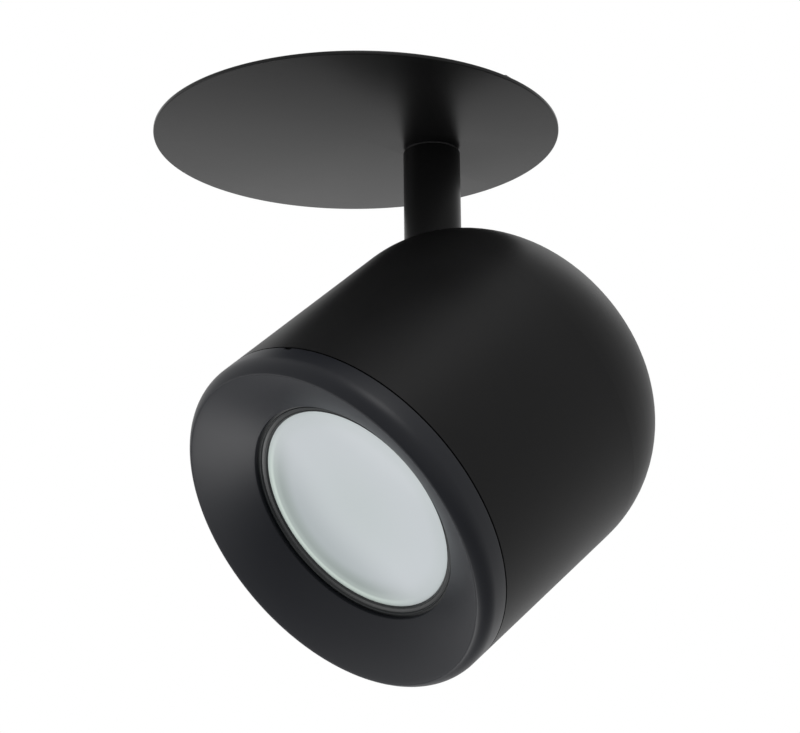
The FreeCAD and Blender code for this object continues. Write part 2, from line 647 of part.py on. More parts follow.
def head_housing():
    body = new_body("head_housing", head_place())
    shell = new_sketch(body, "XZ_Plane")
    outline(shell, dome(ZERO) + [(D.head_radius, HOUSING_FRONT), (ZERO, HOUSING_FRONT)])
    feature(body, "Revolution", shell, Angle=360)
    hollow = new_sketch(body, "XZ_Plane")
    outline(hollow, dome(D.head_wall) + [(BORE, HOUSING_FRONT), (ZERO, HOUSING_FRONT)])
    feature(body, "Groove", hollow, Angle=360)
    boss_z = D.carrier_from_pivot - D.boss_length
    boss = circle(new_sketch(body, "XY_Plane", (ZERO, ZERO, boss_z)), D.boss_radius, ZERO, -BOSS_CIRCLE)
    around(body, [feature(body, "Pad", boss, Length=D.boss_length)], 3)
    tapped = circle(new_sketch(body, "XY_Plane", (ZERO, ZERO, D.carrier_from_pivot)),
                    D.m4_radius, ZERO, -BOSS_CIRCLE)
    around(body, [feature(body, "Pocket", tapped, Length=D.m4_length)], 3)
    stem_slot(body)
    bayonet_slots(body)
    return keep(body)


def stem_slot(body):
    """Room for the stem from straight down to the tilt limit: its two end cylinders and the wedge between."""
    half = D.stem_radius + D.slot_clearance
    reach = D.rear_reach * 2
    down = circle(new_sketch(body, "XY_Plane"), half)
    feature(body, "Pocket", down, Length=reach)
    up = circle(new_sketch(body, "XY_Plane", turn=(FreeCAD.Vector(1, 0, 0), D.tilt_limit)), half)
    feature(body, "Pocket", up, Length=reach)
    wedge = outline(new_sketch(body, "YZ_Plane"), [
        (ZERO, ZERO), (ZERO, -reach), (reach * sine(D.tilt_limit), -reach),
        (reach * sine(D.tilt_limit), -reach * cosine(D.tilt_limit))])
    feature(body, "Pocket", wedge, Length=half * 2, Midplane=True)
    width = half.number
    dressed(body, "Chamfer", D.stem_chamfer, lambda edge: slot_rim(edge, width))


def slot_rim(edge, width):
    """The slot's two long edges on the outside of the dome."""
    middle = edge.valueAt((edge.FirstParameter + edge.LastParameter) / 2)
    return abs(abs(middle.x) - width) < 1e-4 and middle.z < DOME_START.number \
        and outside(edge.Vertexes[0].Point) and outside(edge.Vertexes[-1].Point) \
        and edge.Length > D.head_wall.number * 3


def outside(point):
    """True where a point lies on the outer dome, judged by its two arcs."""
    radial = math.hypot(point.x, point.y)
    points = dome(ZERO)
    corner = points[1][2].number
    shoulder = points[2][2].number
    wall = D.head_radius.number
    flat = points[1][0].number
    if radial < flat:
        return abs(point.z - points[0][1].number) < 0.05
    low = math.hypot(radial - flat, point.z - (points[1][1].number + corner))
    high = math.hypot(radial - (wall - shoulder), point.z - DOME_START.number)
    return abs(low - corner) < 0.05 or abs(high - shoulder) < 0.05


def bayonet_slots(body):
    """Three entries along the bore, each with a channel that the lug turns into."""
    gap = D.side_clearance
    deep = SPIGOT + D.lug_height + gap
    play = gap / SPIGOT * math.degrees(1)
    wide = D.lug_angle + play * 2
    entry = new_sketch(body, "XZ_Plane", turn=(FreeCAD.Vector(0, 1, 0), D.twist_angle - play))
    rectangle(entry, BORE - gap, LUG_REAR - gap, deep, HOUSING_FRONT + gap)
    first = feature(body, "Groove", entry, Angle=wide)
    channel = new_sketch(body, "XZ_Plane", turn=(FreeCAD.Vector(0, 1, 0), -play))
    rectangle(channel, BORE - gap, LUG_REAR - gap, deep, LUG_FRONT + gap)
    second = feature(body, "Groove", channel, Angle=wide + D.twist_angle)
    around(body, [first, second], 3)


# ---------------------------------------------------------------- bezel and glass

LIP = POCKET - D.lip_overlap
SIGHT = LIP - D.gasket_show
GLASS_RADIUS = POCKET - D.gasket_side
LIP_Z = FRONT - D.lip_depth
POCKET_Z = LIP_Z - D.lip_thickness
GLASS_FRONT = POCKET_Z - D.gasket_front_lip
GLASS_REAR = GLASS_FRONT - D.glass_thickness
CIRCLIP_FRONT = GLASS_REAR - D.gasket_rear_lip
CIRCLIP_REAR = CIRCLIP_FRONT - D.circlip_thickness


def front_bezel():
    crest = D.head_radius - D.crest_width
    relief_outer = SPIGOT - D.spigot_wall
    relief_inner = POCKET + D.pocket_wall
    circlip_seat = POCKET + D.circlip_groove
    relief_top = LIP_Z - D.relief_setback
    groove_front = SEAM - D.seal_setback
    groove_rear = groove_front - D.seal_groove_width
    corner = D.crest_depth * D.crest_depth / (2 * D.crest_width) + D.crest_width / 2
    body = turned("front_bezel", [
        (LIP, POCKET_Z), (POCKET, POCKET_Z), (POCKET, CIRCLIP_FRONT), (circlip_seat, CIRCLIP_FRONT),
        (circlip_seat, CIRCLIP_REAR), (POCKET, CIRCLIP_REAR), (POCKET, SPIGOT_REAR),
        (relief_inner, SPIGOT_REAR), (relief_inner, relief_top),
        (relief_outer, relief_top), (relief_outer, SPIGOT_REAR),
        (SPIGOT, SPIGOT_REAR), (SPIGOT, groove_rear), (SPIGOT - D.seal_groove, groove_rear),
        (SPIGOT - D.seal_groove, groove_front), (SPIGOT, groove_front), (SPIGOT, SEAM),
        (D.head_radius, SEAM), (D.head_radius, FRONT - D.crest_depth, corner),
        (crest, FRONT, D.dish_bulge_radius), (LIP, LIP_Z)], head_place())
    lug = new_sketch(body, "XZ_Plane")
    rectangle(lug, SPIGOT - D.lug_height / 2, LUG_REAR, SPIGOT + D.lug_height, LUG_FRONT)
    around(body, [feature(body, "Revolution", lug, Angle=D.lug_angle)], 3)
    notch = new_sketch(body, "YZ_Plane", turn=(FreeCAD.Vector(0, 1, 0), -D.notch_azimuth))
    rectangle(notch, D.head_radius - D.notch_depth, SEAM, D.head_radius + D.notch_depth, SEAM + D.notch_depth)
    feature(body, "Pocket", notch, Length=D.notch_width, Midplane=True)
    return keep(body)


def bezel_pieces():
    place = head_place()
    groove_middle = SEAM - D.seal_setback - D.seal_groove_width / 2
    seal = new_body("bezel_seal", place)
    seat = SPIGOT - D.seal_groove + D.seal_wire
    ring = circle(new_sketch(seal, "XZ_Plane"), D.seal_wire, seat, groove_middle)
    feature(seal, "Revolution", ring, Angle=360)
    keep(seal)
    rise = (POCKET_Z - GLASS_FRONT) / 3
    step = D.gasket_show / 4
    rear_lip = GLASS_RADIUS - D.rear_lip_overlap
    keep(turned("glass_gasket", [
        (SIGHT, GLASS_FRONT), (GLASS_RADIUS, GLASS_FRONT), (GLASS_RADIUS, GLASS_REAR),
        (rear_lip, GLASS_REAR), (rear_lip, CIRCLIP_FRONT), (POCKET, CIRCLIP_FRONT),
        (POCKET, POCKET_Z), (SIGHT + step * 3, POCKET_Z), (SIGHT + step * 2.6, POCKET_Z + D.rib_height),
        (SIGHT + step * 2.2, GLASS_FRONT + rise * 2), (SIGHT + step, GLASS_FRONT + rise),
        (SIGHT + step * 0.6, GLASS_FRONT + rise + D.rib_height)], place))
    glass = tube("glass", ZERO, GLASS_RADIUS, GLASS_REAR, GLASS_FRONT, place)
    dressed(glass, "Chamfer", D.glass_bevel, lambda edge: is_ring(edge, GLASS_RADIUS))
    keep(glass)
    circlip(place)


def circlip(place):
    """Open spring ring that holds the glass and its gasket in the pocket."""
    outer = POCKET + D.circlip_groove
    body = new_body("glass_circlip", place)
    sketch = new_sketch(body, "XZ_Plane", turn=(FreeCAD.Vector(0, 1, 0), D.circlip_gap_angle / 2))
    rectangle(sketch, outer - D.circlip_width, CIRCLIP_REAR, outer, CIRCLIP_FRONT)
    feature(body, "Revolution", sketch, Angle=360 - D.circlip_gap_angle)
    keep(body)


# ---------------------------------------------------------------- light module

CARRIER_TOP = D.carrier_from_pivot + D.carrier_thickness
BOARD_TOP = CARRIER_TOP + D.board_thickness
GLAND_X = (BORE - D.gland_setback) * cosine(D.gland_azimuth)
GLAND_Y = (BORE - D.gland_setback) * sine(D.gland_azimuth)


def ring_points(radius, count, start=0):
    return [(radius * cosine(as_size(start + 360.0 * index / count)),
             radius * sine(as_size(start + 360.0 * index / count))) for index in range(count)]


def module_carrier():
    """Heat spreading plate across the head, on the housing's three bosses."""
    body = new_body("module_carrier", head_place())
    sketch = circle(new_sketch(body, "XY_Plane", (ZERO, ZERO, D.carrier_from_pivot)), BORE - D.side_clearance)
    for x, y in ring_points(BOSS_CIRCLE, 3, -90):
        circle(sketch, D.m4_radius + D.running_clearance, x, y)
    for x, y in ring_points(D.board_screw_circle, 3, 90) + yoke_screw_points():
        circle(sketch, D.m3_radius, x, y)
    circle(sketch, D.gland_shank_radius, GLAND_X, GLAND_Y)
    feature(body, "Pad", sketch, Length=D.carrier_thickness)
    return keep(body)


def yoke_screw_points():
    return [(D.yoke_screw_spread * side, ZERO) for side in (-1, 1)]


def light_pieces():
    place = head_place()
    board = new_body("led_board", place)
    face = circle(new_sketch(board, "XY_Plane", (ZERO, ZERO, CARRIER_TOP)), D.board_radius)
    for x, y in ring_points(D.board_screw_circle, 3, 90):
        circle(face, D.m3_radius + D.running_clearance, x, y)
    feature(board, "Pad", face, Length=D.board_thickness)
    keep(board)
    chips = new_body("led_chips", place)
    spots = new_sketch(chips, "XY_Plane", (ZERO, ZERO, BOARD_TOP))
    half = D.chip_size / 2
    for x, y in [(ZERO, ZERO)] + ring_points(D.chip_circle, 8):
        rectangle(spots, x - half, y - half, x + half, y + half)
    feature(chips, "Pad", spots, Length=D.chip_height)
    keep(chips)
    mouth = SPIGOT_REAR - D.module_gap
    base = BOARD_TOP + D.reflector_flange
    wall = D.reflector_wall
    narrow = D.board_radius + D.reflector_base_room
    wide = POCKET - D.reflector_mouth_inset
    reflector = turned("reflector", [
        (D.flange_hole_radius, BOARD_TOP), (narrow + wall, BOARD_TOP), (wide + wall, mouth), (wide, mouth),
        (narrow, base), (D.flange_hole_radius, base)], place)
    holes = new_sketch(reflector, "XY_Plane", (ZERO, ZERO, BOARD_TOP))
    for x, y in ring_points(D.board_screw_circle, 3, 90):
        circle(holes, D.m3_radius + D.running_clearance, x, y)
    feature(reflector, "Pocket", holes, Length=D.reflector_flange, Reversed=True)
    keep(reflector)
    stack = D.reflector_flange + D.board_thickness + D.carrier_thickness
    screws("board_screws", ring_points(D.board_screw_circle, 3, 90), base, D.m3_radius, stack,
           D.m3_head_radius, D.m3_head_height, place)
    screws("carrier_screws", ring_points(BOSS_CIRCLE, 3, -90), CARRIER_TOP, D.m4_radius,
           D.carrier_thickness + D.m4_length, D.m4_head_radius, D.m4_head_height, place)
    screws("yoke_screws", yoke_screw_points(), D.carrier_from_pivot - D.yoke_base, D.m3_radius,
           D.yoke_base + D.carrier_thickness, D.m3_head_radius, D.m3_head_height, place, up=-1)


def cable_gland():
    """Gland for the flexible lead, through the carrier, with its nut on the front."""
    top = CARRIER_TOP + D.gland_nut_height
    low = D.carrier_from_pivot - D.gland_length
    shank = D.gland_shank_radius
    bore = D.gland_bore_radius
    place = head_place().multiply(FreeCAD.Placement(vector(GLAND_X, GLAND_Y, 0), FreeCAD.Rotation()))
    keep(turned("cable_gland", [
        (bore, low), (D.gland_radius - D.gland_bevel, low), (D.gland_radius, low + D.gland_bevel_length),
        (D.gland_radius, D.carrier_from_pivot), (shank, D.carrier_from_pivot),
        (shank, top), (bore, top)], place))
    keep(nut("gland_nut", D.gland_radius, shank, CARRIER_TOP, D.gland_nut_height, place))


# ---------------------------------------------------------------- spring clips

CLIP_BASE_TOP = D.clip_plate - D.clip_pivot_height
CLIP_OUTER = D.clip_inner_half + D.clip_plate
CLIP_CIRCLE = D.ring_radius - D.clip_setback
ARM_HALF = D.clip_inner_half - D.arm_side_gap


def clip_place(side):
    """At the clip's pivot with X outward: side is 1 for the right one and -1 for the left."""
    azimuth = D.clip_azimuth + (0 if side > 0 else 180)
    return world_place(CLIP_CIRCLE * cosine(azimuth), CLIP_CIRCLE * sine(azimuth),
                       FLOOR_TOP + D.clip_pivot_height, azimuth.number)


def rivet_local():
    back = -D.clip_base_back + D.rivet_head_radius + D.rivet_end_gap
    side = -D.clip_inner_half + D.rivet_head_radius + D.rivet_side_gap
    return [(back, side), (back, side + D.rivet_spacing)]


def rivet_points():
    """The right clip's rivets in the ring's own frame. The left clip's are opposite."""
    along = cosine(D.clip_azimuth)
    across = sine(D.clip_azimuth)
    return [((CLIP_CIRCLE + x) * along - y * across, (CLIP_CIRCLE + x) * across + y * along)
            for x, y in rivet_local()]


def clip_bracket(side, place):
    """Folded bracket: a base on the ring's floor and two ears that hold the pin."""
    body = new_body("clip_bracket_" + side, place)
    low = -D.clip_pivot_height
    ear = D.clip_ear_radius
    profile = outline(new_sketch(body, "XZ_Plane"), [(-ear, low), (ear, low), (ear, ZERO, ear), (-ear, ZERO)])
    feature(body, "Pad", profile, Length=CLIP_OUTER * 2, Midplane=True)
    base = rectangle(new_sketch(body, "XY_Plane", (ZERO, ZERO, low)),
                     -D.clip_base_back, -D.clip_inner_half, ZERO, D.clip_inner_half)
    feature(body, "Pad", base, Length=D.clip_plate)
    room = rectangle(new_sketch(body, "XZ_Plane"), -ear * 2, CLIP_BASE_TOP, ear * 2, ear * 2)
    feature(body, "Pocket", room, Length=D.clip_inner_half * 2, Midplane=True)
    pin = circle(new_sketch(body, "XZ_Plane"), D.clip_pin_radius + D.fit_clearance)
    feature(body, "Pocket", pin, Length=CLIP_OUTER * 4, Midplane=True)
    holes = new_sketch(body, "XY_Plane", (ZERO, ZERO, low))
    for x, y in rivet_local():
        circle(holes, D.rivet_radius, x, y)
    feature(body, "Pocket", holes, Length=D.clip_plate, Reversed=True)
    keep(body)


def clip_pin(side, place):
    end = CLIP_OUTER
    body = new_body("clip_pin_" + side, place)
    shank = circle(new_sketch(body, "XZ_Plane"), D.clip_pin_radius)
    feature(body, "Pad", shank, Length=end * 2, Midplane=True)
    for low in (end, -end - D.clip_pin_head_length):
        head = circle(new_sketch(body, "XZ_Plane", (ZERO, ZERO, low)), D.clip_pin_head)
        feature(body, "Pad", head, Length=D.clip_pin_head_length)
    keep(body)


def arm_place(place):
    droop = FreeCAD.Rotation(FreeCAD.Vector(0, 1, 0), D.arm_droop.number)
    return place.multiply(FreeCAD.Placement(FreeCAD.Vector(), droop))


def clip_arm(side, place):
    """Pressed arm: a plate that reaches over the ceiling and two ears on the pin."""
    body = new_body("clip_arm_" + side, arm_place(place))
    half = D.arm_plate / 2
    ear = D.arm_ear_radius
    profile = outline(new_sketch(body, "XZ_Plane"), [
        (ZERO, -ear), (ear, -half * 2), (D.arm_length, -half), (D.arm_length, half),
        (ear, half * 2), (ZERO, ear, -ear)])
    feature(body, "Pad", profile, Length=ARM_HALF * 2, Midplane=True)
    room = rectangle(new_sketch(body, "XZ_Plane"), -ear * 2, -ear * 2, D.arm_start, ear * 2)
    feature(body, "Pocket", room, Length=(ARM_HALF - D.arm_ear) * 2, Midplane=True)
    low = rectangle(new_sketch(body, "XZ_Plane"), D.arm_start, -ear * 2, D.arm_length + half, -half)
    feature(body, "Pocket", low, Length=ARM_HALF * 4, Midplane=True)
    high = rectangle(new_sketch(body, "XZ_Plane"), D.arm_start, half, D.arm_length + half, ear * 2)
    feature(body, "Pocket", high, Length=ARM_HALF * 4, Midplane=True)
    pin = circle(new_sketch(body, "XZ_Plane"), D.clip_pin_radius + D.running_clearance)
    feature(body, "Pocket", pin, Length=ARM_HALF * 4, Midplane=True)
    keep(body)


def clip_pad(side, place):
    """Soft sleeve on the end of the arm, with rounded ends."""
    body = new_body("clip_pad_" + side, arm_place(place))
    half = D.pad_thickness / 2
    start = D.arm_length - D.pad_length + half
    end = D.arm_length
    profile = outline(new_sketch(body, "XZ_Plane"), [
        (start, -half), (end, -half), (end + half, -half / 2),
        (end + half, half / 2), (end, half), (start, half)])
    feature(body, "Pad", profile, Length=(ARM_HALF + D.pad_side) * 2, Midplane=True)
    inside = rectangle(new_sketch(body, "XZ_Plane"), ZERO, -D.arm_plate / 2, D.arm_length, D.arm_plate / 2)
    feature(body, "Pocket", inside, Length=ARM_HALF * 2, Midplane=True)
    keep(body)


def biarc(start, start_way, end, end_way):
    """Two arcs that join two points and keep both directions."""
    run = end - start
    both = start_way + end_way
    square = 2 * (1 - start_way.dot(end_way))
    along = run.dot(both)
    reach = (math.sqrt(along ** 2 + square * run.dot(run)) - along) / square
    middle = (start + start_way * reach + end - end_way * reach) * 0.5
    return [bend(start, start + start_way * reach, middle), bend(middle, end - end_way * reach, end)]


def bend(start, corner, end):
    """Arc tangent to the two equal sides of a corner."""
    half = (end - start) * 0.5
    rise = corner - (start + half)
    turn = math.atan2(rise.Length, half.Length)
    top = start + half + rise.normalize() * (half.Length * math.tan(turn / 2))
    return Part.Arc(start, top, end).toShape()


def clip_spring(side, place):
    """Torsion spring round the pin: one unbroken wire with a leg on the arm and a tail on the base."""
    radius = D.coil_radius.number
    climb = D.coil_pitch.number / (2 * math.pi)
    wire = D.wire_radius.number
    arm_top = D.arm_plate.number / 2
    lean = D.arm_droop.number + math.degrees(math.asin((radius - wire - arm_top) / D.spring_leg.number))
    first = math.radians(90 - lean)
    last = math.radians(90 + D.tail_angle.number + 360 * D.coil_turns.number)
    centre = (first + last) / 2

    def point(turn):
        return FreeCAD.Vector(radius * math.cos(turn), climb * (turn - centre), radius * math.sin(turn))

    def way(turn):
        return FreeCAD.Vector(-radius * math.sin(turn), climb, radius * math.cos(turn)).normalize()

    count = int(math.ceil((last - first) / (math.pi / 2)))
    turns = [first + (last - first) * index / count for index in range(count + 1)]
    edges = []
    tip = point(first) - way(first) * D.spring_leg.number
    edges.append(Part.LineSegment(tip, point(first)).toShape())
    for here, there in zip(turns, turns[1:]):
        edges += biarc(point(here), way(here), point(there), way(there))
    fall = point(last).z - (CLIP_BASE_TOP.number + wire)
    tail = point(last) + way(last) * (fall / -way(last).z)
    edges.append(Part.LineSegment(point(last), tail).toShape())
    path = Part.Wire(edges)
    ring = Part.Wire([Part.Circle(tip, way(first), wire).toShape()])
    node = DOC.addObject("Part::Feature", "clip_spring_" + side)
    node.Shape = path.makePipeShell([ring], True, False)
    node.Placement = place
    print("clip_spring_%s least gap %.2f, volume ratio %.4f"
          % (side, least_gap(path, wire), node.Shape.Volume / (math.pi * wire ** 2 * path.Length)))
    keep(node)


def least_gap(path, wire):
    """Smallest space between runs of the wire that lie more than five diameters apart along it."""
    step = wire / 2
    points = path.discretize(Distance=step)
    apart = int(10 * wire / step)
    nearest = min(here.distanceToPoint(there) for index, here in enumerate(points)
                  for there in points[index + apart:])
    return nearest - 2 * wire


def clip(side, sign):
    place = clip_place(sign)
    clip_bracket(side, place)
    clip_pin(side, place)
    clip_arm(side, place)
    clip_pad(side, place)
    clip_spring(side, place)
    screws("clip_rivets_" + side, rivet_local(), CLIP_BASE_TOP, D.rivet_radius, D.clip_plate + D.ring_floor,
           D.rivet_head_radius, D.rivet_head, place)


# ---------------------------------------------------------------- wiring pieces

BLOCK_Y = D.ring_radius - D.block_setback


def block_screw_points():
    return [(D.block_x + D.block_pitch / 2 * side, BLOCK_Y) for side in (-1, 1)]


def clamp_screw_points():
    return [(D.clamp_x + D.clamp_screw_spread * side, D.clamp_y) for side in (-1, 1)]


def terminal_block():
    """Three pole terminal block on the ring's floor: wire entries on both long sides."""
    body = new_body("terminal_block", world_place(D.block_x, BLOCK_Y, FLOOR_TOP))
    base = rectangle(new_sketch(body, "XY_Plane"), -D.block_length / 2, -D.block_depth / 2,
                     D.block_length / 2, D.block_depth / 2)
    feature(body, "Pad", base, Length=D.block_height)
    entries = new_sketch(body, "XZ_Plane")
    for pole in (-1, 0, 1):
        circle(entries, D.wire_entry_radius, D.block_pitch * pole, D.block_height / 2)
    feature(body, "Pocket", entries, Length=D.block_depth * 2, Midplane=True)
    wells = new_sketch(body, "XY_Plane", (ZERO, ZERO, D.block_height))
    for pole in (-1, 0, 1):
        circle(wells, D.m3_head_radius, D.block_pitch * pole)
    feature(body, "Pocket", wells, Length=D.well_depth)
    threads = new_sketch(body, "XY_Plane", (ZERO, ZERO, D.block_height))
    for pole in (-1, 0, 1):
        circle(threads, D.pole_screw_radius, D.block_pitch * pole)
    feature(body, "Pocket", threads, Length=D.block_height / 2)
    bolts = new_sketch(body, "XY_Plane")
    for side in (-1, 1):
        circle(bolts, D.m3_radius, D.block_pitch / 2 * side)
    feature(body, "Pocket", bolts, Length=D.block_height, Reversed=True)
    keep(body)
    grip = D.block_height / 2 - D.well_depth - D.wire_entry_radius
    poles = [(D.block_pitch * pole, ZERO) for pole in (-1, 0, 1)]
    screws("terminal_screws", poles, D.block_height - D.well_depth, D.pole_screw_radius, grip,
           D.pole_screw_head, D.m3_head_height, body.Placement)
    screws("block_bolts", [(D.block_pitch / 2 * side, ZERO) for side in (-1, 1)], D.block_height,
           D.m3_radius, D.block_height + D.ring_floor, D.block_bolt_head, D.block_bolt_rise, body.Placement)


def cord_clamp():
    """Saddle that grips the supply cable against the ring's floor."""
    place = world_place(D.clamp_x, D.clamp_y, FLOOR_TOP)
    body = new_body("cord_clamp", place)
    foot = D.clamp_wall
    outer = D.cable_radius + D.clamp_wall
    half = D.clamp_length / 2
    profile = outline(new_sketch(body, "XZ_Plane"), [
        (-half, ZERO), (-D.cable_radius, ZERO), (-D.cable_radius, D.cable_radius, -D.cable_radius),
        (D.cable_radius, D.cable_radius), (D.cable_radius, ZERO), (half, ZERO), (half, foot), (outer, foot),
        (outer, D.cable_radius, outer), (-outer, D.cable_radius), (-outer, foot), (-half, foot)])
    feature(body, "Pad", profile, Length=D.clamp_width, Midplane=True)
    holes = new_sketch(body, "XY_Plane")
    for side in (-1, 1):
        circle(holes, D.m3_radius, D.clamp_screw_spread * side)
    feature(body, "Pocket", holes, Length=foot, Reversed=True)
    keep(body)
    screws("clamp_screws", [(D.clamp_screw_spread * side, ZERO) for side in (-1, 1)], foot, D.m3_radius,
           foot + D.ring_floor, D.m3_head_radius, D.m3_head_height, place)


def earth_terminal():
    place = world_place(D.earth_x, D.earth_y, FLOOR_TOP)
    keep(tube("earth_washer", D.m3_radius, D.earth_tag_radius, ZERO, D.earth_tag, place))
    screws("earth_screw", [(ZERO, ZERO)], D.earth_tag, D.m3_radius, D.earth_tag + D.ring_floor,
           D.m3_head_radius, D.m3_head_height, place)


# ---------------------------------------------------------------- assembly

canopy_plate()
canopy_gasket()
mounting_ring()
stud_nuts()
swivel_bush()
stop_pin()
stem_tube()
swivel_pieces()
knuckle()
knuckle_pieces()
pivot_yoke()
pivot_bolt()
pivot_nut()
head_housing()
front_bezel()
bezel_pieces()
module_carrier()
light_pieces()
cable_gland()
clip("right", 1)
clip("left", -1)
terminal_block()
cord_clamp()
earth_terminal()
DOC.recompute()

faults = [thing.Name for thing in DOC.Objects if "Invalid" in thing.State or "Error" in thing.State]
for node in NODES:
    if node.Shape.isNull() or not node.Shape.isValid() or not node.Shape.Solids:
        faults.append(node.Label)
if faults:
    raise RuntimeError("failed: " + ", ".join(faults))

os.makedirs("parts", exist_ok=True)
for node in NODES:
    node.Shape.exportStep(os.path.join("parts", node.Label + ".step"))
print("%d nodes" % len(NODES))
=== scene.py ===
# %% [markdown]
# # A soffit downlight
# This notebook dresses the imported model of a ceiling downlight: a round plate, a short offset stem, a
# domed lamp head that tilts on it, and on the back the tray, clips and terminals that go up into the
# ceiling. The solids arrive as a fixed frame. They are right in size but plain, so the pieces that show
# most are made again here with rounded edges, and every surface gets a finish built from nodes.

# %% Load the frame
import math

import bmesh
import bpy
from mathutils import Matrix, Vector


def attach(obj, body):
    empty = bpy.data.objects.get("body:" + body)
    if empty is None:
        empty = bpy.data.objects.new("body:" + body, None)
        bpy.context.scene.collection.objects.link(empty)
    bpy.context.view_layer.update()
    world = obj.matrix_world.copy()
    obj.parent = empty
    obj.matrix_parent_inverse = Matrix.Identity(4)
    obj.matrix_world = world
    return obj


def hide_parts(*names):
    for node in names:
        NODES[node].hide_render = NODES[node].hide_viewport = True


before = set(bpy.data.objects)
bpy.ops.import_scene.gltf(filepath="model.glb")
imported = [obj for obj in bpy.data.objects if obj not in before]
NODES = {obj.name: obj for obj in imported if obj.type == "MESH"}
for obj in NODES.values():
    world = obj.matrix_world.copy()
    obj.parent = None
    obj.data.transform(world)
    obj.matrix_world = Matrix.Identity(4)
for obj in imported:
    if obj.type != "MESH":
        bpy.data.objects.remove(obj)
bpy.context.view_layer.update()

# %% [markdown]
# Camera, lamps and meshes all need an object in the scene to be seen, so one helper makes it.

# %% A thing in the scene


def stand(name, data):
    """An object for a mesh, a lamp or a camera, at the origin and in the scene."""
    made = bpy.data.objects.new(name, data)
    bpy.context.scene.collection.objects.link(made)
    return made


# %% [markdown]
# The camera comes before any piece, because everything is judged through it. It stands a little over half
# a metre from the light, below it, and looks up at it by seventeen degrees through a long lens. The place
# and the slight roll were solved from the plate's ellipse, the stem's edges and the head's outlines.

# %% Camera
PICTURE_WIDTH = 800.0
FOCAL_LENGTH = 2563.0
SENSOR_WIDTH = 36.0
CAMERA_SPOT = (0.010247, -0.588766, -0.244243)
LOOK_UP = math.asin(0.29625)
ROLL = math.radians(-0.606)

camera_data = bpy.data.cameras.new("camera")
camera_data.sensor_width = SENSOR_WIDTH
camera_data.lens = FOCAL_LENGTH * SENSOR_WIDTH / PICTURE_WIDTH
camera = stand("camera", camera_data)
camera.matrix_world = (Matrix.Translation(CAMERA_SPOT)
                       @ Matrix.Rotation(math.radians(90) + LOOK_UP, 4, "X")
                       @ Matrix.Rotation(ROLL, 4, "Z"))
bpy.context.scene.camera = camera
print("lens", round(camera_data.lens, 2), "mm, looking up by", round(math.degrees(LOOK_UP), 1), "degrees")

# %% [markdown]
# Three places carry most of the pieces. The plate's place is the model's own origin. The stem's place has
# its Z axis along the stem and X along the tilt axis. The head's place is at the pivot, with Z along the
# head to its front. Each clip has a place of its own at its pin. A piece is drawn in one of them, and then
# its mesh, not its object, is moved there, so that every object stays at the origin. Shapes are drawn in
# millimetres, and MM turns them into metres.

# %% Places
MM = 0.001
STEM_OFFSET = 20.8
STEM_AZIMUTH = 25.8
HEAD_AZIMUTH = STEM_AZIMUTH + 180 + 10.4
HEAD_TILT = 49.6
PIVOT_HEIGHT = -78.1
CLIP_AZIMUTH = -18
CLIP_PIN_RADIUS = 26.8
CLIP_PIN_HEIGHT = 7.4

stem_x = STEM_OFFSET * math.cos(math.radians(STEM_AZIMUTH))
stem_y = STEM_OFFSET * math.sin(math.radians(STEM_AZIMUTH))
head_turn = math.radians(HEAD_AZIMUTH)
head_tilt = math.radians(HEAD_TILT)
tilt_axis = Vector((-math.sin(head_turn), math.cos(head_turn), 0))
head_front = Vector((math.sin(head_tilt) * math.cos(head_turn), math.sin(head_tilt) * math.sin(head_turn),
                     -math.cos(head_tilt)))


def place_of(origin, x_axis, z_axis):
    """The matrix that moves a drawn mesh to an origin, given in millimetres, and two of its axes."""
    y_axis = z_axis.cross(x_axis)
    turn = Matrix((x_axis, y_axis, z_axis)).transposed().to_4x4()
    return Matrix.Translation(Vector(origin) * MM) @ turn


PLATE = Matrix.Identity(4)
STEM = place_of((stem_x, stem_y, 0), tilt_axis, Vector((0, 0, 1)))
HEAD = place_of((stem_x, stem_y, PIVOT_HEIGHT), tilt_axis, head_front)


def clip_place(side):
    """The middle of a clip's pin, with X outward: side 1 is the right clip, side -1 the left one."""
    azimuth = math.radians(CLIP_AZIMUTH + (0 if side > 0 else 180))
    outward = Vector((math.cos(azimuth), math.sin(azimuth), 0))
    origin = (CLIP_PIN_RADIUS * outward.x, CLIP_PIN_RADIUS * outward.y, CLIP_PIN_HEIGHT)
    return place_of(origin, outward, Vector((0, 0, 1)))


print("head looks along", [round(v, 3) for v in head_front])

# %% [markdown]
# Most of what is made again here is turned on a lathe: plate, stem, bezel, gasket, glass. A lathe is a
# rule, so it is made with Geometry Nodes. The tree reads a profile of (radius, height) points from the
# object's own mesh, lays out a grid with one row per step round the axis, and sends each grid point to its
# place. Merging closes the last row onto the first and closes the poles.

# %% Node helpers


def socket(tree, name, kind, value=None, into="INPUT"):
    made = tree.interface.new_socket(name=name, in_out=into, socket_type=kind)
    if value is not None:
        made.default_value = value
    return made


def node(tree, kind, **settings):
    made = tree.nodes.new(kind)
    for name, value in settings.items():
        setattr(made, name, value)
    return made


def join(tree, source, target):
    tree.links.new(source, target)


def maths(tree, operation, first, second=None):
    """A math node between two sockets or numbers."""
    made = node(tree, "ShaderNodeMath", operation=operation)
    for index, value in enumerate((first, second)):
        if value is None:
            continue
        if isinstance(value, (int, float)):
            made.inputs[index].default_value = value
        else:
            join(tree, value, made.inputs[index])
    return made.outputs[0]


def split(tree, vector):
    """The three numbers of a vector."""
    parts = node(tree, "ShaderNodeSeparateXYZ")
    join(tree, vector, parts.inputs[0])
    return parts.outputs


def vector_of(tree, *numbers):
    made = node(tree, "ShaderNodeCombineXYZ")
    for number, target in zip(numbers, made.inputs):
        join(tree, number, target)
    return made.outputs[0]


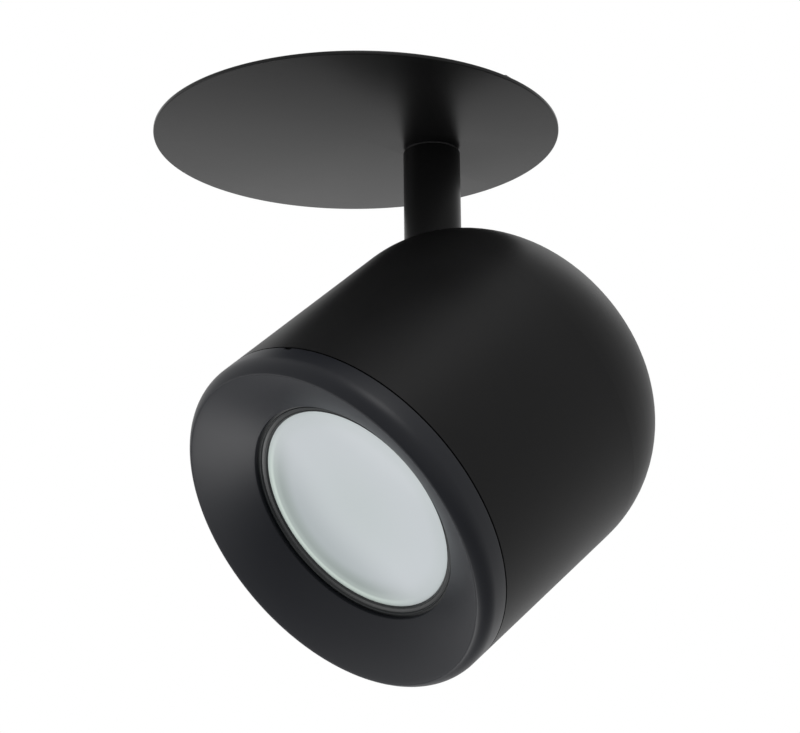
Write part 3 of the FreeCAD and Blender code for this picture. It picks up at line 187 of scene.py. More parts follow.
def start_tree(name, inputs):
    """A geometry tree with its named inputs, a finish and one output."""
    tree = bpy.data.node_groups.new(name, "GeometryNodeTree")
    for label, kind, value in inputs:
        socket(tree, label, kind, value)
    socket(tree, "Finish", "NodeSocketMaterial")
    socket(tree, "Made", "NodeSocketGeometry", into="OUTPUT")
    return tree, node(tree, "NodeGroupInput")


def end_tree(tree, given, geometry):
    """Makes instances real, sets the finish and ends the tree."""
    real = node(tree, "GeometryNodeRealizeInstances")
    join(tree, geometry, real.inputs[0])
    painted = node(tree, "GeometryNodeSetMaterial")
    join(tree, real.outputs[0], painted.inputs["Geometry"])
    join(tree, given.outputs["Finish"], painted.inputs["Material"])
    join(tree, painted.outputs[0], node(tree, "NodeGroupOutput").inputs[0])
    return tree


# %% The lathe as a node tree
LATHE_STEPS = 192
MERGE_REACH = 1e-6


def lathe_tree():
    tree, given = start_tree("lathe", [("Profile", "NodeSocketGeometry", None),
                                       ("Steps", "NodeSocketInt", LATHE_STEPS)])
    count = node(tree, "GeometryNodeAttributeDomainSize", component="MESH")
    join(tree, given.outputs["Profile"], count.inputs[0])
    points = count.outputs["Point Count"]
    grid = node(tree, "GeometryNodeMeshGrid")
    join(tree, maths(tree, "ADD", given.outputs["Steps"], 1), grid.inputs["Vertices X"])
    join(tree, points, grid.inputs["Vertices Y"])
    index = node(tree, "GeometryNodeInputIndex").outputs[0]
    row = maths(tree, "FLOOR", maths(tree, "DIVIDE", maths(tree, "ADD", index, 0.5), points))
    column = maths(tree, "SUBTRACT", index, maths(tree, "MULTIPLY", row, points))
    sample = node(tree, "GeometryNodeSampleIndex", data_type="FLOAT_VECTOR", domain="POINT")
    join(tree, given.outputs["Profile"], sample.inputs["Geometry"])
    join(tree, node(tree, "GeometryNodeInputPosition").outputs[0], sample.inputs["Value"])
    join(tree, column, sample.inputs["Index"])
    radius, _, height = split(tree, sample.outputs[0])
    angle = maths(tree, "MULTIPLY", maths(tree, "DIVIDE", row, given.outputs["Steps"]), 2 * math.pi)
    spot = vector_of(tree, maths(tree, "MULTIPLY", radius, maths(tree, "COSINE", angle)),
                     maths(tree, "MULTIPLY", radius, maths(tree, "SINE", angle)), height)
    moved = node(tree, "GeometryNodeSetPosition")
    join(tree, grid.outputs["Mesh"], moved.inputs["Geometry"])
    join(tree, spot, moved.inputs["Position"])
    merged = node(tree, "GeometryNodeMergeByDistance")
    merged.inputs["Distance"].default_value = MERGE_REACH
    join(tree, moved.outputs[0], merged.inputs["Geometry"])
    return end_tree(tree, given, merged.outputs[0])


LATHE = lathe_tree()
print("lathe tree has", len(LATHE.nodes), "nodes")

# %% [markdown]
# A modifier's inputs go by the identifier of the socket, so a small helper looks the name up. The result
# is turned into a plain mesh and moved to its place. Corners over a given angle are marked sharp, and all
# the rest is shaded smooth.

# %% A tree's result as a plain piece
SHARP_ANGLE = 35
DOUBLES_REACH = 1e-7
NEEDLE_REACH = 1e-8


def run_tree(source, tree, name, values, place, sharp=SHARP_ANGLE):
    modifier = source.modifiers.new("made", "NODES")
    modifier.node_group = tree
    for item in tree.interface.items_tree:
        if item.item_type == "SOCKET" and item.in_out == "INPUT" and item.name in values:
            modifier[item.identifier] = values[item.name]
    source.update_tag()
    graph = bpy.context.evaluated_depsgraph_get()
    mesh = bpy.data.meshes.new_from_object(source.evaluated_get(graph))
    bpy.data.objects.remove(source)
    dress(mesh, values.get("Finish"))
    return settle(name, mesh, place, sharp)


def dress(mesh, material):
    """One finish for the whole mesh."""
    mesh.materials.clear()
    if material is not None:
        mesh.materials.append(material)
    for face in mesh.polygons:
        face.material_index = 0


def settle(name, mesh, place, sharp=SHARP_ANGLE):
    """Puts a mesh in its place, outward and smooth, on an object that stays at the origin."""
    work = bmesh.new()
    work.from_mesh(mesh)
    bmesh.ops.remove_doubles(work, verts=work.verts, dist=DOUBLES_REACH)
    bmesh.ops.dissolve_degenerate(work, edges=work.edges, dist=NEEDLE_REACH)
    bmesh.ops.recalc_face_normals(work, faces=work.faces)
    work.to_mesh(mesh)
    work.free()
    mesh.transform(place)
    mesh.name = name
    mesh.shade_smooth()
    mesh.set_sharp_from_angle(angle=math.radians(sharp))
    return stand(name, mesh)


def points_object(points, joined=True):
    """An object of points in millimetres, joined one to the next unless they only mark places."""
    mesh = bpy.data.meshes.new("points")
    edges = [(i, i + 1) for i in range(len(points) - 1)] if joined else []
    mesh.from_pydata([Vector(point) * MM for point in points], edges, [])
    return stand("points", mesh)


# %% Profiles with rounded corners
LONGEST_REACH = 0.49


def swung(centre, arm, turn):
    """The end of an arm that has turned round a centre."""
    c, s = math.cos(turn), math.sin(turn)
    return (centre.x + arm.x * c - arm.y * s, centre.y + arm.x * s + arm.y * c)


def rounded(corners, closed=True, steps=5):
    """Profile points in millimetres. A corner with a third value gets a rounding of that radius."""
    points = []
    total = len(corners)
    for index, corner in enumerate(corners):
        here = Vector(corner[:2])
        radius = corner[2] if len(corner) > 2 else 0
        before = Vector(corners[index - 1][:2])
        after = Vector(corners[(index + 1) % total][:2])
        open_end = not closed and index in (0, total - 1)
        if radius <= 0 or open_end:
            points.append(tuple(here))
            continue
        back = (before - here).normalized()
        ahead = (after - here).normalized()
        half = back.angle(ahead) / 2
        reach = min(radius / math.tan(half), (before - here).length * LONGEST_REACH,
                    (after - here).length * LONGEST_REACH)
        true_radius = reach * math.tan(half)
        middle = here + (back + ahead).normalized() * (true_radius / math.sin(half))
        first = here + back * reach - middle
        last = here + ahead * reach - middle
        sweep = first.angle_signed(last)
        points += [swung(middle, first, -sweep * step / steps) for step in range(steps + 1)]
    if closed:
        points.append(points[0])
    return points


def arc(start, end, radius, steps=16):
    """Points after start up to end on an arc that bulges to the right of the run."""
    a, b = Vector(start), Vector(end)
    run = b - a
    right = Vector((run.y, -run.x)).normalized()
    rise = math.sqrt(radius ** 2 - (run.length / 2) ** 2)
    centre = (a + b) / 2 - right * rise
    first = a - centre
    sweep = 2 * math.asin(run.length / 2 / radius)
    return [swung(centre, first, sweep * step / steps) for step in range(1, steps + 1)]


def turned(name, points, material, place, steps=LATHE_STEPS, sharp=SHARP_ANGLE):
    profile = points_object([(radius, 0, height) for radius, height in points])
    return run_tree(profile, LATHE, name, {"Steps": steps, "Finish": material}, place, sharp)


sample_profile = rounded([(0, 0), (10, 0, 2), (10, 5)], closed=False)
print("a rounded corner takes", len(sample_profile) - 2, "points")


# %% [markdown]
# Finishes. Every coat, plating and plastic needs the same two things: a fine grain, and slow patches
# where hands, dust and the spray gun left it a little duller or lighter. Drawn metal has fine lines as
# well. Each is a node group with named inputs, built once and placed in each material with its own values.

# %% Shader groups: grain, patches, streaks
PATCH_LOW = 0.3
PATCH_CONTRAST = 2.5


def group_shell(name, inputs, outputs):
    """A shader group with numbers in and numbers out, and its two end nodes."""
    tree = bpy.data.node_groups.new(name, "ShaderNodeTree")
    for label, value in inputs:
        socket(tree, label, "NodeSocketFloat", value)
    for label in outputs:
        socket(tree, label, "NodeSocketFloat", into="OUTPUT")
    return tree, node(tree, "NodeGroupInput"), node(tree, "NodeGroupOutput")


def noise(tree, where, detail, size=None):
    """Noise on a vector, with features of a given size, or of size one."""
    made = node(tree, "ShaderNodeTexNoise")
    made.inputs["Detail"].default_value = detail
    made.inputs["Scale"].default_value = 1
    join(tree, where, made.inputs["Vector"])
    if size is not None:
        join(tree, maths(tree, "DIVIDE", 1.0, size), made.inputs["Scale"])
    return made.outputs["Fac"]


def grain_group():
    """Orange peel of a powder coat or the skin of a moulding: fine noise over a slower swell."""
    tree, given, result = group_shell("grain", [("Fine size", 0.0003), ("Swell size", 0.003), ("Swell", 0.4)],
                                      ["Height"])
    where = node(tree, "ShaderNodeTexCoord").outputs["Object"]
    fine = noise(tree, where, 2, given.outputs["Fine size"])
    swell = noise(tree, where, 1, given.outputs["Swell size"])
    slow = maths(tree, "MULTIPLY", swell, given.outputs["Swell"])
    join(tree, maths(tree, "ADD", fine, slow), result.inputs["Height"])
    return tree


def patches_group():
    """Slow variation over a surface, and sparse specks of dust, each from 0 to 1."""
    tree, given, result = group_shell(
        "patches", [("Patch size", 0.03), ("Speck size", 0.002), ("Speck share", 0.1)], ["Patch", "Specks"])
    where = node(tree, "ShaderNodeTexCoord").outputs["Object"]
    slow = noise(tree, where, 4, given.outputs["Patch size"])
    spread = maths(tree, "MULTIPLY", maths(tree, "SUBTRACT", slow, PATCH_LOW), PATCH_CONTRAST)
    held = node(tree, "ShaderNodeClamp")
    join(tree, spread, held.inputs[0])
    join(tree, held.outputs[0], result.inputs["Patch"])
    dots = node(tree, "ShaderNodeTexVoronoi")
    join(tree, where, dots.inputs["Vector"])
    join(tree, maths(tree, "DIVIDE", 1.0, given.outputs["Speck size"]), dots.inputs["Scale"])
    near = maths(tree, "LESS_THAN", dots.outputs["Distance"], given.outputs["Speck share"])
    join(tree, near, result.inputs["Specks"])
    return tree


def streak_group():
    """Fine lines along the object's Z axis, as drawing or brushing leaves them."""
    tree, given, result = group_shell("streaks", [("Line size", 0.0004), ("Line length", 0.02)], ["Lines"])
    x, y, z = split(tree, node(tree, "ShaderNodeTexCoord").outputs["Object"])
    size, length = given.outputs["Line size"], given.outputs["Line length"]
    spot = vector_of(tree, maths(tree, "DIVIDE", x, size), maths(tree, "DIVIDE", y, size),
                     maths(tree, "DIVIDE", z, length))
    join(tree, noise(tree, spot, 3), result.inputs["Lines"])
    return tree


GRAIN = grain_group()
PATCHES = patches_group()
STREAKS = streak_group()
print("groups", [group.name for group in bpy.data.node_groups])

# %% [markdown]
# One recipe makes all the opaque finishes. Colour goes from a base towards a second colour with the
# patches, dust specks lighten it, roughness follows the patches, and the grain drives a bump. What is the
# same all over is set on the shader's own socket.

# %% A recipe for opaque finishes
SPECK_SIZE = 0.0016
SPECK_COVER = 0.35
DUST_GAIN = 1.6
DUST_FLOOR = 0.02
STREAK_RELIEF = 4
SWELL_TO_FINE = 9
BUMP_TO_FINE = 0.4


def placed(tree, group, **values):
    """A shader group in a material's tree, with some of its inputs set."""
    made = node(tree, "ShaderNodeGroup", node_tree=group)
    for name, value in values.items():
        made.inputs[name.replace("_", " ")].default_value = value
    return made


def new_material(name, **constants):
    """A material with its tree and shader. Constants go to the shader's own sockets."""
    material = bpy.data.materials.new(name)
    material.use_nodes = True
    shader = material.node_tree.nodes["Principled BSDF"]
    for label, value in constants.items():
        shader.inputs[label.replace("_", " ")].default_value = value
    return material, material.node_tree, shader


def blend(tree, share, first, second):
    """Mixes two colours, each a socket or three plain numbers."""
    mix = node(tree, "ShaderNodeMix", data_type="RGBA")
    join(tree, share, mix.inputs["Factor"])
    for colour, label in ((first, "A"), (second, "B")):
        if isinstance(colour, tuple):
            mix.inputs[label].default_value = (*colour, 1)
        else:
            join(tree, colour, mix.inputs[label])
    return mix.outputs["Result"]


def emboss(tree, shader, height, strength, distance):
    relief = node(tree, "ShaderNodeBump")
    relief.inputs["Strength"].default_value = strength
    relief.inputs["Distance"].default_value = distance
    join(tree, height, relief.inputs["Height"])
    join(tree, relief.outputs["Normal"], shader.inputs["Normal"])


def finish(name, colour, second, rough, rough_spread=0.06, metallic=0.0, specular=0.5, fine=0.0003, bump=0.1,
           swell=0.4, patch=0.03, specks=0.0, streaks=0.0):
    material, tree, shader = new_material(name, Metallic=metallic, Specular_IOR_Level=specular)
    slow = placed(tree, PATCHES, Patch_size=patch, Speck_size=SPECK_SIZE, Speck_share=specks)
    dust = tuple(min(1.0, value * DUST_GAIN + DUST_FLOOR) for value in second)
    clean = blend(tree, slow.outputs["Patch"], colour, second)
    dusty = blend(tree, maths(tree, "MULTIPLY", slow.outputs["Specks"], SPECK_COVER), clean, dust)
    join(tree, dusty, shader.inputs["Base Color"])
    grain = placed(tree, GRAIN, Fine_size=fine, Swell_size=fine * SWELL_TO_FINE, Swell=swell)
    height = grain.outputs["Height"]
    dull = maths(tree, "ADD", maths(tree, "MULTIPLY", slow.outputs["Patch"], rough_spread), rough)
    if streaks:
        lines = placed(tree, STREAKS).outputs["Lines"]
        height = maths(tree, "ADD", height, maths(tree, "MULTIPLY", lines, streaks * STREAK_RELIEF))
        dull = maths(tree, "ADD", dull, maths(tree, "MULTIPLY", lines, streaks))
    join(tree, dull, shader.inputs["Roughness"])
    emboss(tree, shader, height, bump, fine * BUMP_TO_FINE)
    return material


# %% [markdown]
# The light's visible skin is a satin black powder coat, sprayed on steel for the plate and stem and on
# castings for the head. The bezel's coat is a touch bluer and finer. Behind the plate and inside the head
# things are plain: zinc plating, brass, nylon, rubber.

# %% Finishes of the visible skin
coat_plate = finish("coat_plate", (0.0060, 0.0060, 0.0062), (0.0085, 0.0085, 0.0088), 0.27, 0.05,
                    specular=0.165, fine=0.00035, bump=0.12, patch=0.05, specks=0.03)
coat_stem = finish("coat_stem", (0.0050, 0.0050, 0.0052), (0.0070, 0.0070, 0.0072), 0.30, specular=0.13,
                   fine=0.0003, bump=0.08, patch=0.02, specks=0.02)
coat_head = finish("coat_head", (0.0070, 0.0070, 0.0072), (0.0095, 0.0095, 0.0098), 0.40, specular=0.10,
                   bump=0.12, patch=0.04, specks=0.03)
coat_bezel = finish("coat_bezel", (0.0085, 0.0095, 0.0130), (0.0105, 0.0115, 0.0150), 0.40, specular=0.20,
                    fine=0.00025, bump=0.08, patch=0.03, specks=0.03)
gasket_rubber = finish("gasket_rubber", (0.006, 0.008, 0.009), (0.012, 0.014, 0.015), 0.38, specular=0.4,
                       fine=0.0002, bump=0.1, patch=0.01, specks=0.02)

# %% Finishes behind the plate and inside the head
zinc = finish("zinc", (0.50, 0.51, 0.52), (0.40, 0.41, 0.43), 0.26, 0.14, metallic=1.0, fine=0.0006,
              bump=0.15, patch=0.006, specks=0.02)
spring_steel = finish("spring_steel", (0.46, 0.46, 0.47), (0.36, 0.36, 0.38), 0.24, 0.1, metallic=1.0,
                      fine=0.0003, bump=0.08, patch=0.01, streaks=0.12)
brass = finish("brass", (0.72, 0.52, 0.22), (0.55, 0.38, 0.15), 0.24, 0.16, metallic=1.0, fine=0.0003,
               bump=0.08, patch=0.004, streaks=0.06)
cast_aluminium = finish("cast_aluminium", (0.60, 0.61, 0.62), (0.50, 0.51, 0.53), 0.34, 0.12, metallic=1.0,
                        fine=0.0005, bump=0.12, patch=0.012, streaks=0.08)
black_nylon = finish("black_nylon", (0.020, 0.020, 0.021), (0.028, 0.028, 0.029), 0.48, specular=0.4,
                     fine=0.0004, bump=0.25, patch=0.01, specks=0.03)
pale_nylon = finish("pale_nylon", (0.66, 0.64, 0.58), (0.58, 0.56, 0.50), 0.42, specular=0.4, fine=0.0004,
                    bump=0.2, patch=0.01, specks=0.02)
pad_rubber = finish("pad_rubber", (0.018, 0.018, 0.018), (0.030, 0.030, 0.029), 0.62, specular=0.3,
                    fine=0.0003, bump=0.3, patch=0.008, specks=0.05)
foam = finish("foam", (0.020, 0.020, 0.021), (0.036, 0.036, 0.037), 0.85, specular=0.2, fine=0.0005, bump=0.9,
              swell=1.0, patch=0.006, specks=0.12)
white_mask = finish("white_mask", (0.72, 0.73, 0.72), (0.66, 0.67, 0.66), 0.35, specular=0.4, fine=0.0003,
                    bump=0.1, patch=0.01)
phosphor = finish("phosphor", (0.80, 0.62, 0.12), (0.72, 0.54, 0.10), 0.3, specular=0.5, fine=0.0002,
                  bump=0.1, patch=0.002)
white_cone = finish("white_cone", (0.74, 0.75, 0.73), (0.70, 0.71, 0.69), 0.5, specular=0.3, fine=0.0003,
                    bump=0.1, patch=0.02)
print("finishes", len(bpy.data.materials))

# %% [markdown]
# The glass is frosted. Light goes into it and comes back soft and slightly green, so the shader is mostly
# a pale body colour with a thin clear coat over it. Light and shade are painted into that colour: a lighter
# band a little inside the edge all round, and on one side a painted light green rim with a painted grey
# crescent of shade inside it. A group that measures how far a point lies from the glass's axis, and how far
# to that side, drives two rows of painted colours and the blend between them.

# %% Frosted glass, with painted light and shade
GLASS_ROUGHNESS = 0.38
GLASS_ROUGH_SPREAD = 0.12


def lens_shade_mask_group():
    """A point's distance from the glass's axis, and towards the side with painted shade, as shares of the
    radius.
    """
    tree, given, result = group_shell("ring", [("Radius", 0.0268), ("Side X", -0.98), ("Side Y", -0.195)],
                                      ["Share", "Side"])
    where = node(tree, "ShaderNodeTexCoord").outputs["Object"]
    turn = node(tree, "ShaderNodeMapping", vector_type="TEXTURE")
    turn.inputs["Location"].default_value = HEAD.to_translation()
    turn.inputs["Rotation"].default_value = HEAD.to_euler()
    join(tree, where, turn.inputs["Vector"])
    across, up, _ = split(tree, turn.outputs[0])
    square = maths(tree, "ADD", maths(tree, "MULTIPLY", across, across), maths(tree, "MULTIPLY", up, up))
    away = maths(tree, "DIVIDE", maths(tree, "SQRT", square), given.outputs["Radius"])
    join(tree, away, result.inputs["Share"])
    lean = maths(tree, "ADD", maths(tree, "MULTIPLY", across, given.outputs["Side X"]),
                 maths(tree, "MULTIPLY", up, given.outputs["Side Y"]))
    join(tree, maths(tree, "DIVIDE", lean, given.outputs["Radius"]), result.inputs["Side"])
    return tree


LENS_SHADE_MASK = lens_shade_mask_group()


def ramp_of(tree, source, stops):
    """A row of colours over a number from 0 to 1. The first two stops are the two ends."""
    made = node(tree, "ShaderNodeValToRGB")
    made.color_ramp.interpolation = "EASE"
    for index, (position, colour) in enumerate(stops):
        if index < 2:
            stop = made.color_ramp.elements[index]
            stop.position = position
        else:
            stop = made.color_ramp.elements.new(position)
        stop.color = (*colour, 1)
    join(tree, source, made.inputs[0])
    return made.outputs[0]


def glass_finish():
    material, tree, shader = new_material("frosted_glass", Specular_IOR_Level=0.3, Coat_Weight=0.35,
                                          Coat_Roughness=0.08)
    ring = placed(tree, LENS_SHADE_MASK)
    # Painted light and shade all round the glass: lighter a little inside the edge, darker at the rim.
    plain = ramp_of(tree, ring.outputs["Share"], [
        (0.0, (0.55, 0.60, 0.61)), (1.0, (0.52, 0.57, 0.575)), (0.8, (0.59, 0.63, 0.655)),
        (0.95, (0.56, 0.605, 0.62))])
    # On the shaded side: a painted grey crescent of shade inside a painted light green rim.
    painted_rim_and_crescent = ramp_of(tree, ring.outputs["Share"], [
        (0.0, (0.53, 0.575, 0.59)), (1.0, (0.46, 0.53, 0.50)), (0.70, (0.43, 0.475, 0.49)),
        (0.86, (0.34, 0.39, 0.38)), (0.925, (0.42, 0.48, 0.46)), (0.955, (0.62, 0.71, 0.66))])
    # How far the painted rim and crescent take over, rising towards that side.
    share = ramp_of(tree, ring.outputs["Side"], [(0.05, (0, 0, 0)), (0.75, (1, 1, 1))])
    join(tree, blend(tree, share, plain, painted_rim_and_crescent), shader.inputs["Base Color"])
    grain = placed(tree, GRAIN, Fine_size=0.00022, Swell_size=0.001, Swell=0.3).outputs["Height"]
    dull = maths(tree, "ADD", maths(tree, "MULTIPLY", grain, GLASS_ROUGH_SPREAD), GLASS_ROUGHNESS)
    join(tree, dull, shader.inputs["Roughness"])
    emboss(tree, shader, grain, strength=0.08, distance=0.0001)
    return material


frosted_glass = glass_finish()
print("the glass's finish has", len(frosted_glass.node_tree.nodes), "nodes")

# %% [markdown]
# The solids that keep their own mesh get these finishes too. A table from node to finish does it, and the
# print shows that none is missed.

# %% Finishes on the solids
CAD_FINISH = {
    "canopy_plate": coat_plate, "canopy_gasket": foam, "mounting_ring": zinc, "stud_nuts": zinc,
    "swivel_bush": black_nylon, "stop_pin": zinc, "terminal_block": pale_nylon, "terminal_screws": brass,
    "block_bolts": zinc, "cord_clamp": black_nylon, "clamp_screws": zinc, "earth_washer": brass,
    "earth_screw": brass, "clip_bracket_left": zinc, "clip_bracket_right": zinc,
    "clip_pin_left": spring_steel, "clip_pin_right": spring_steel, "clip_rivets_left": zinc,
    "clip_rivets_right": zinc, "clip_spring_left": spring_steel, "clip_spring_right": spring_steel,
    "clip_arm_left": zinc, "clip_arm_right": zinc, "clip_pad_left": pad_rubber,
    "clip_pad_right": pad_rubber, "stem_tube": coat_stem, "thrust_collar": black_nylon,
    "threaded_nipple": zinc, "friction_disc": black_nylon, "tab_washer": zinc,
    "spring_washer": spring_steel, "swivel_lock_nut": zinc, "wire_outlet_cap": black_nylon,
    "knuckle": coat_head, "knuckle_cross_pin": zinc, "tilt_friction_discs": black_nylon,
    "head_housing": coat_head, "pivot_yoke": zinc, "pivot_bolt": zinc, "pivot_nut": zinc,
    "module_carrier": cast_aluminium, "led_board": white_mask, "led_chips": phosphor,
    "reflector": white_cone, "board_screws": zinc, "carrier_screws": zinc, "yoke_screws": zinc,
    "cable_gland": black_nylon, "gland_nut": black_nylon, "front_bezel": coat_bezel,
    "bezel_seal": pad_rubber, "glass_gasket": gasket_rubber, "glass": frosted_glass,
    "glass_circlip": spring_steel,
}
for name, solid in NODES.items():
    solid.data.materials.clear()
    solid.data.materials.append(CAD_FINISH[name])
print("nodes without a finish", sorted(set(NODES) - set(CAD_FINISH)))

# %% [markdown]
# The ceiling plate is a flat disc with a barely broken edge. The coat rounds that edge, and the rounding
# catches a thin line of light, so the profile carries it. The hole for the swivel bush isn't at the
# plate's centre, so the lathe can't make it. The disc is turned whole and a boolean with an upright
# cylinder cuts the hole. The studs on its back are a piece of their own further down.

# %% Ceiling plate
PLATE_RADIUS = 50.0
PLATE_FACE = -2.2
PLATE_BACK = -1.2
PLATE_EDGE = 0.26
BUSH_HOLE = 6.6


def cut(piece, *tools, keep="DIFFERENCE"):
    """Cuts with other objects, which are used up, and keeps the piece's name and finish."""
    for tool in tools:
        modifier = piece.modifiers.new("cut", "BOOLEAN")
        modifier.operation = keep
        modifier.solver = "EXACT"
        modifier.object = tool
    graph = bpy.context.evaluated_depsgraph_get()
    mesh = bpy.data.meshes.new_from_object(piece.evaluated_get(graph))
    name, material = piece.name, piece.data.materials[0]
    for thing in (piece, *tools):
        bpy.data.objects.remove(thing)
    dress(mesh, material)
    return settle(name, mesh, Matrix.Identity(4))


def own(piece, body, slot, *replaced):
    """Says which body a piece rides on and the solids it stands for, which it hides. The slot is not used."""
    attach(piece, body)
    if replaced:
        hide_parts(*replaced)
    print(piece.name, len(piece.data.polygons), "faces,", piece.data.materials[0].name)


plate = turned("ceiling_plate", rounded([
    (0, PLATE_FACE), (PLATE_RADIUS, PLATE_FACE, PLATE_EDGE), (PLATE_RADIUS, PLATE_BACK, PLATE_EDGE),
    (0, PLATE_BACK)], closed=False), coat_plate, PLATE, steps=256)
hole = turned("hole", [(0, -4), (BUSH_HOLE, -4), (BUSH_HOLE, 1), (0, 1)], None, STEM, steps=96)
plate = cut(plate, hole)
own(plate, "canopy", "black_steel", "canopy_plate")

# %% [markdown]
# The stem is a drawn tube with its ends broken, and under the plate a thin collar keeps the two apart.
# Both come off the same lathe tree. The nipple that goes up through the plate is threaded where the lock
# nut runs, which is a zigzag in its profile.

# %% Stem, collar and nipple
STEM_BORE = 5.0
STEM_RADIUS = 7.1
STEM_FOOT = -68.6
STEM_TOP = -2.8
COLLAR_RADIUS = 6.6
COLLAR_TOP = -2.3
NIPPLE_BORE = 3.2
NIPPLE_FOOT = -16.8
NIPPLE_TOP = 13.1
stem = turned("stem", rounded([
    (STEM_BORE, STEM_FOOT), (STEM_RADIUS, STEM_FOOT, 0.4), (STEM_RADIUS, STEM_TOP, 0.45),
    (STEM_BORE, STEM_TOP)]), coat_stem, STEM)
own(stem, "stem", "black_steel", "stem_tube")
collar = turned("stem_collar", rounded([
    (STEM_BORE, STEM_TOP), (COLLAR_RADIUS, STEM_TOP, 0.18), (COLLAR_RADIUS, COLLAR_TOP, 0.18),
    (STEM_BORE, COLLAR_TOP)]), black_nylon, STEM, steps=128)
own(collar, "stem", "black_nylon", "thrust_collar")


def threaded(radius, depth, pitch, low, high):
    """Profile points up a thread: a ridge at the radius and a root under it in every pitch."""
    count = int((high - low) / pitch)
    points = [(radius - depth, low)]
    for index in range(count):
        ridge = low + pitch * (index + 0.5)
        points += [(radius, ridge - pitch * 0.1), (radius, ridge + pitch * 0.1),
                   (radius - depth, ridge + pitch * 0.42)]
    points.append((radius - depth, high))
    return points


nipple = turned("nipple", rounded([(NIPPLE_BORE, NIPPLE_FOOT), (STEM_BORE, NIPPLE_FOOT), (STEM_BORE, 3.0)]
                                  + threaded(STEM_BORE, 0.32, 0.9, 3.2, 12.6)
                                  + [(4.6, NIPPLE_TOP), (NIPPLE_BORE, NIPPLE_TOP)]),
                zinc, STEM, steps=96, sharp=20)
own(nipple, "stem", "plated_steel", "threaded_nipple")

# %% [markdown]
# The bezel is what the eye meets first: a ring with a rounded outer shoulder, a soft crest, and a face
# that dishes inwards to a thin lip over the gasket. The crest and the lip are rounded in the profile, so
# that they catch a fine line of light. A small notch at the seam shows how far the bezel is turned. Behind
# the face come the pocket for the glass with the groove of its retaining ring, a relief that keeps the
# casting's walls even, and the spigot that goes into the head, with the groove of its seal.

# %% Bezel
HEAD_RADIUS = 44.8
SEAM = 33.2
SHOULDER = (HEAD_RADIUS, 37.0)
CREST = (42.4, 41.4)
LIP = (29.2, 33.2)
LIP_BACK = 32.1
POCKET_RADIUS = 33.6
BEZEL_BACK = 25.2
SPIGOT_RADIUS = 42.0
RING_GROOVE_RADIUS = 34.6
RING_FRONT = 26.4
SEAL_GROOVE_RADIUS = 40.3
NOTCH_AZIMUTH = 90 - 19.5
shoulder = arc(SHOULDER, CREST, 5.23, 12)[:-2]
dish = arc(CREST, LIP, 70.0, 24)[1:-1]
pocket = [(LIP[0], LIP_BACK, 0.15), (POCKET_RADIUS, LIP_BACK), (POCKET_RADIUS, RING_FRONT),
          (RING_GROOVE_RADIUS, RING_FRONT), (RING_GROOVE_RADIUS, 25.4), (POCKET_RADIUS, 25.4),
          (POCKET_RADIUS, BEZEL_BACK)]
relief = [(36.0, BEZEL_BACK), (36.0, 32.6), (38.4, 32.6), (38.4, BEZEL_BACK)]
spigot = [(SPIGOT_RADIUS, BEZEL_BACK, 0.3), (SPIGOT_RADIUS, 28.6), (SEAL_GROOVE_RADIUS, 28.6),
          (SEAL_GROOVE_RADIUS, 31.0), (SPIGOT_RADIUS, 31.0), (SPIGOT_RADIUS, SEAM), (HEAD_RADIUS, SEAM, 0.22)]
bezel_profile = rounded(pocket + relief + spigot + [SHOULDER] + shoulder + [(*CREST, 0.9)] + dish
                        + [(*LIP, 0.3)], steps=6)


def block(name, size, centre, place):
    """A plain box that only serves to cut."""
    work = bmesh.new()
    bmesh.ops.create_cube(work, size=1.0)
    mesh = bpy.data.meshes.new(name)
    bmesh.ops.scale(work, vec=[side * MM for side in size], verts=work.verts)
    work.to_mesh(mesh)
    work.free()
    mesh.transform(place @ Matrix.Translation(Vector(centre) * MM))
    return stand(name, mesh)


bezel = turned("bezel", bezel_profile, coat_bezel, HEAD, steps=288, sharp=28)
notch_turn = Matrix.Rotation(math.radians(NOTCH_AZIMUTH), 4, "Z")
bezel = cut(bezel, block("notch", (1.6, 2.2, 0.8), (HEAD_RADIUS, 0, 33.6), HEAD @ notch_turn))
own(bezel, "bezel", "black_casting", "front_bezel")

# %% [markdown]
# The gasket wraps the glass and shows as a dark ring with two fine ridges. The glass itself is a disc
# with a ground edge. Both are turned, with small roundings.

# %% Gasket and glass
GLASS_RADIUS = 31.8
GLASS_BACK = 27.2
GLASS_FRONT = 31.2
GLASS_BEVEL = 0.5
SIGHT_RADIUS = 26.8
bevel_start = GLASS_RADIUS - GLASS_BEVEL
wrap = [(SIGHT_RADIUS, GLASS_FRONT), (GLASS_RADIUS, GLASS_FRONT), (GLASS_RADIUS, GLASS_BACK),
        (28.6, GLASS_BACK), (28.6, RING_FRONT), (POCKET_RADIUS, RING_FRONT), (POCKET_RADIUS, LIP_BACK),
        (28.6, LIP_BACK, 0.1)]
ridges = [(28.36, 32.4, 0.08), (28.12, 31.8, 0.15), (27.4, 31.5, 0.15), (27.16, 31.8, 0.08)]
gasket = turned("lens_gasket", rounded(wrap + ridges, steps=4), gasket_rubber, HEAD, steps=256, sharp=50)
own(gasket, "bezel", "black_rubber", "glass_gasket")
lens = turned("lens", rounded([
    (0, GLASS_BACK), (bevel_start, GLASS_BACK), (GLASS_RADIUS, GLASS_BACK + GLASS_BEVEL),
    (GLASS_RADIUS, GLASS_FRONT - GLASS_BEVEL), (bevel_start, GLASS_FRONT, 0.2), (0, GLASS_FRONT)],
    closed=False), frosted_glass, HEAD)
own(lens, "bezel", "frosted_glass", "glass")

# %% [markdown]
# A wound spring follows a path, so a second tree makes it: points along the wire become a curve, a round
# section is swept along it, and the ends are capped. The path is one formula: a straight leg, three turns
# of a helix round the pin, and a straight tail, each leaving the helix along its own direction.

# %% The wire tree and the clip springs
WIRE_RADIUS = 0.6
STEPS_A_TURN = 40


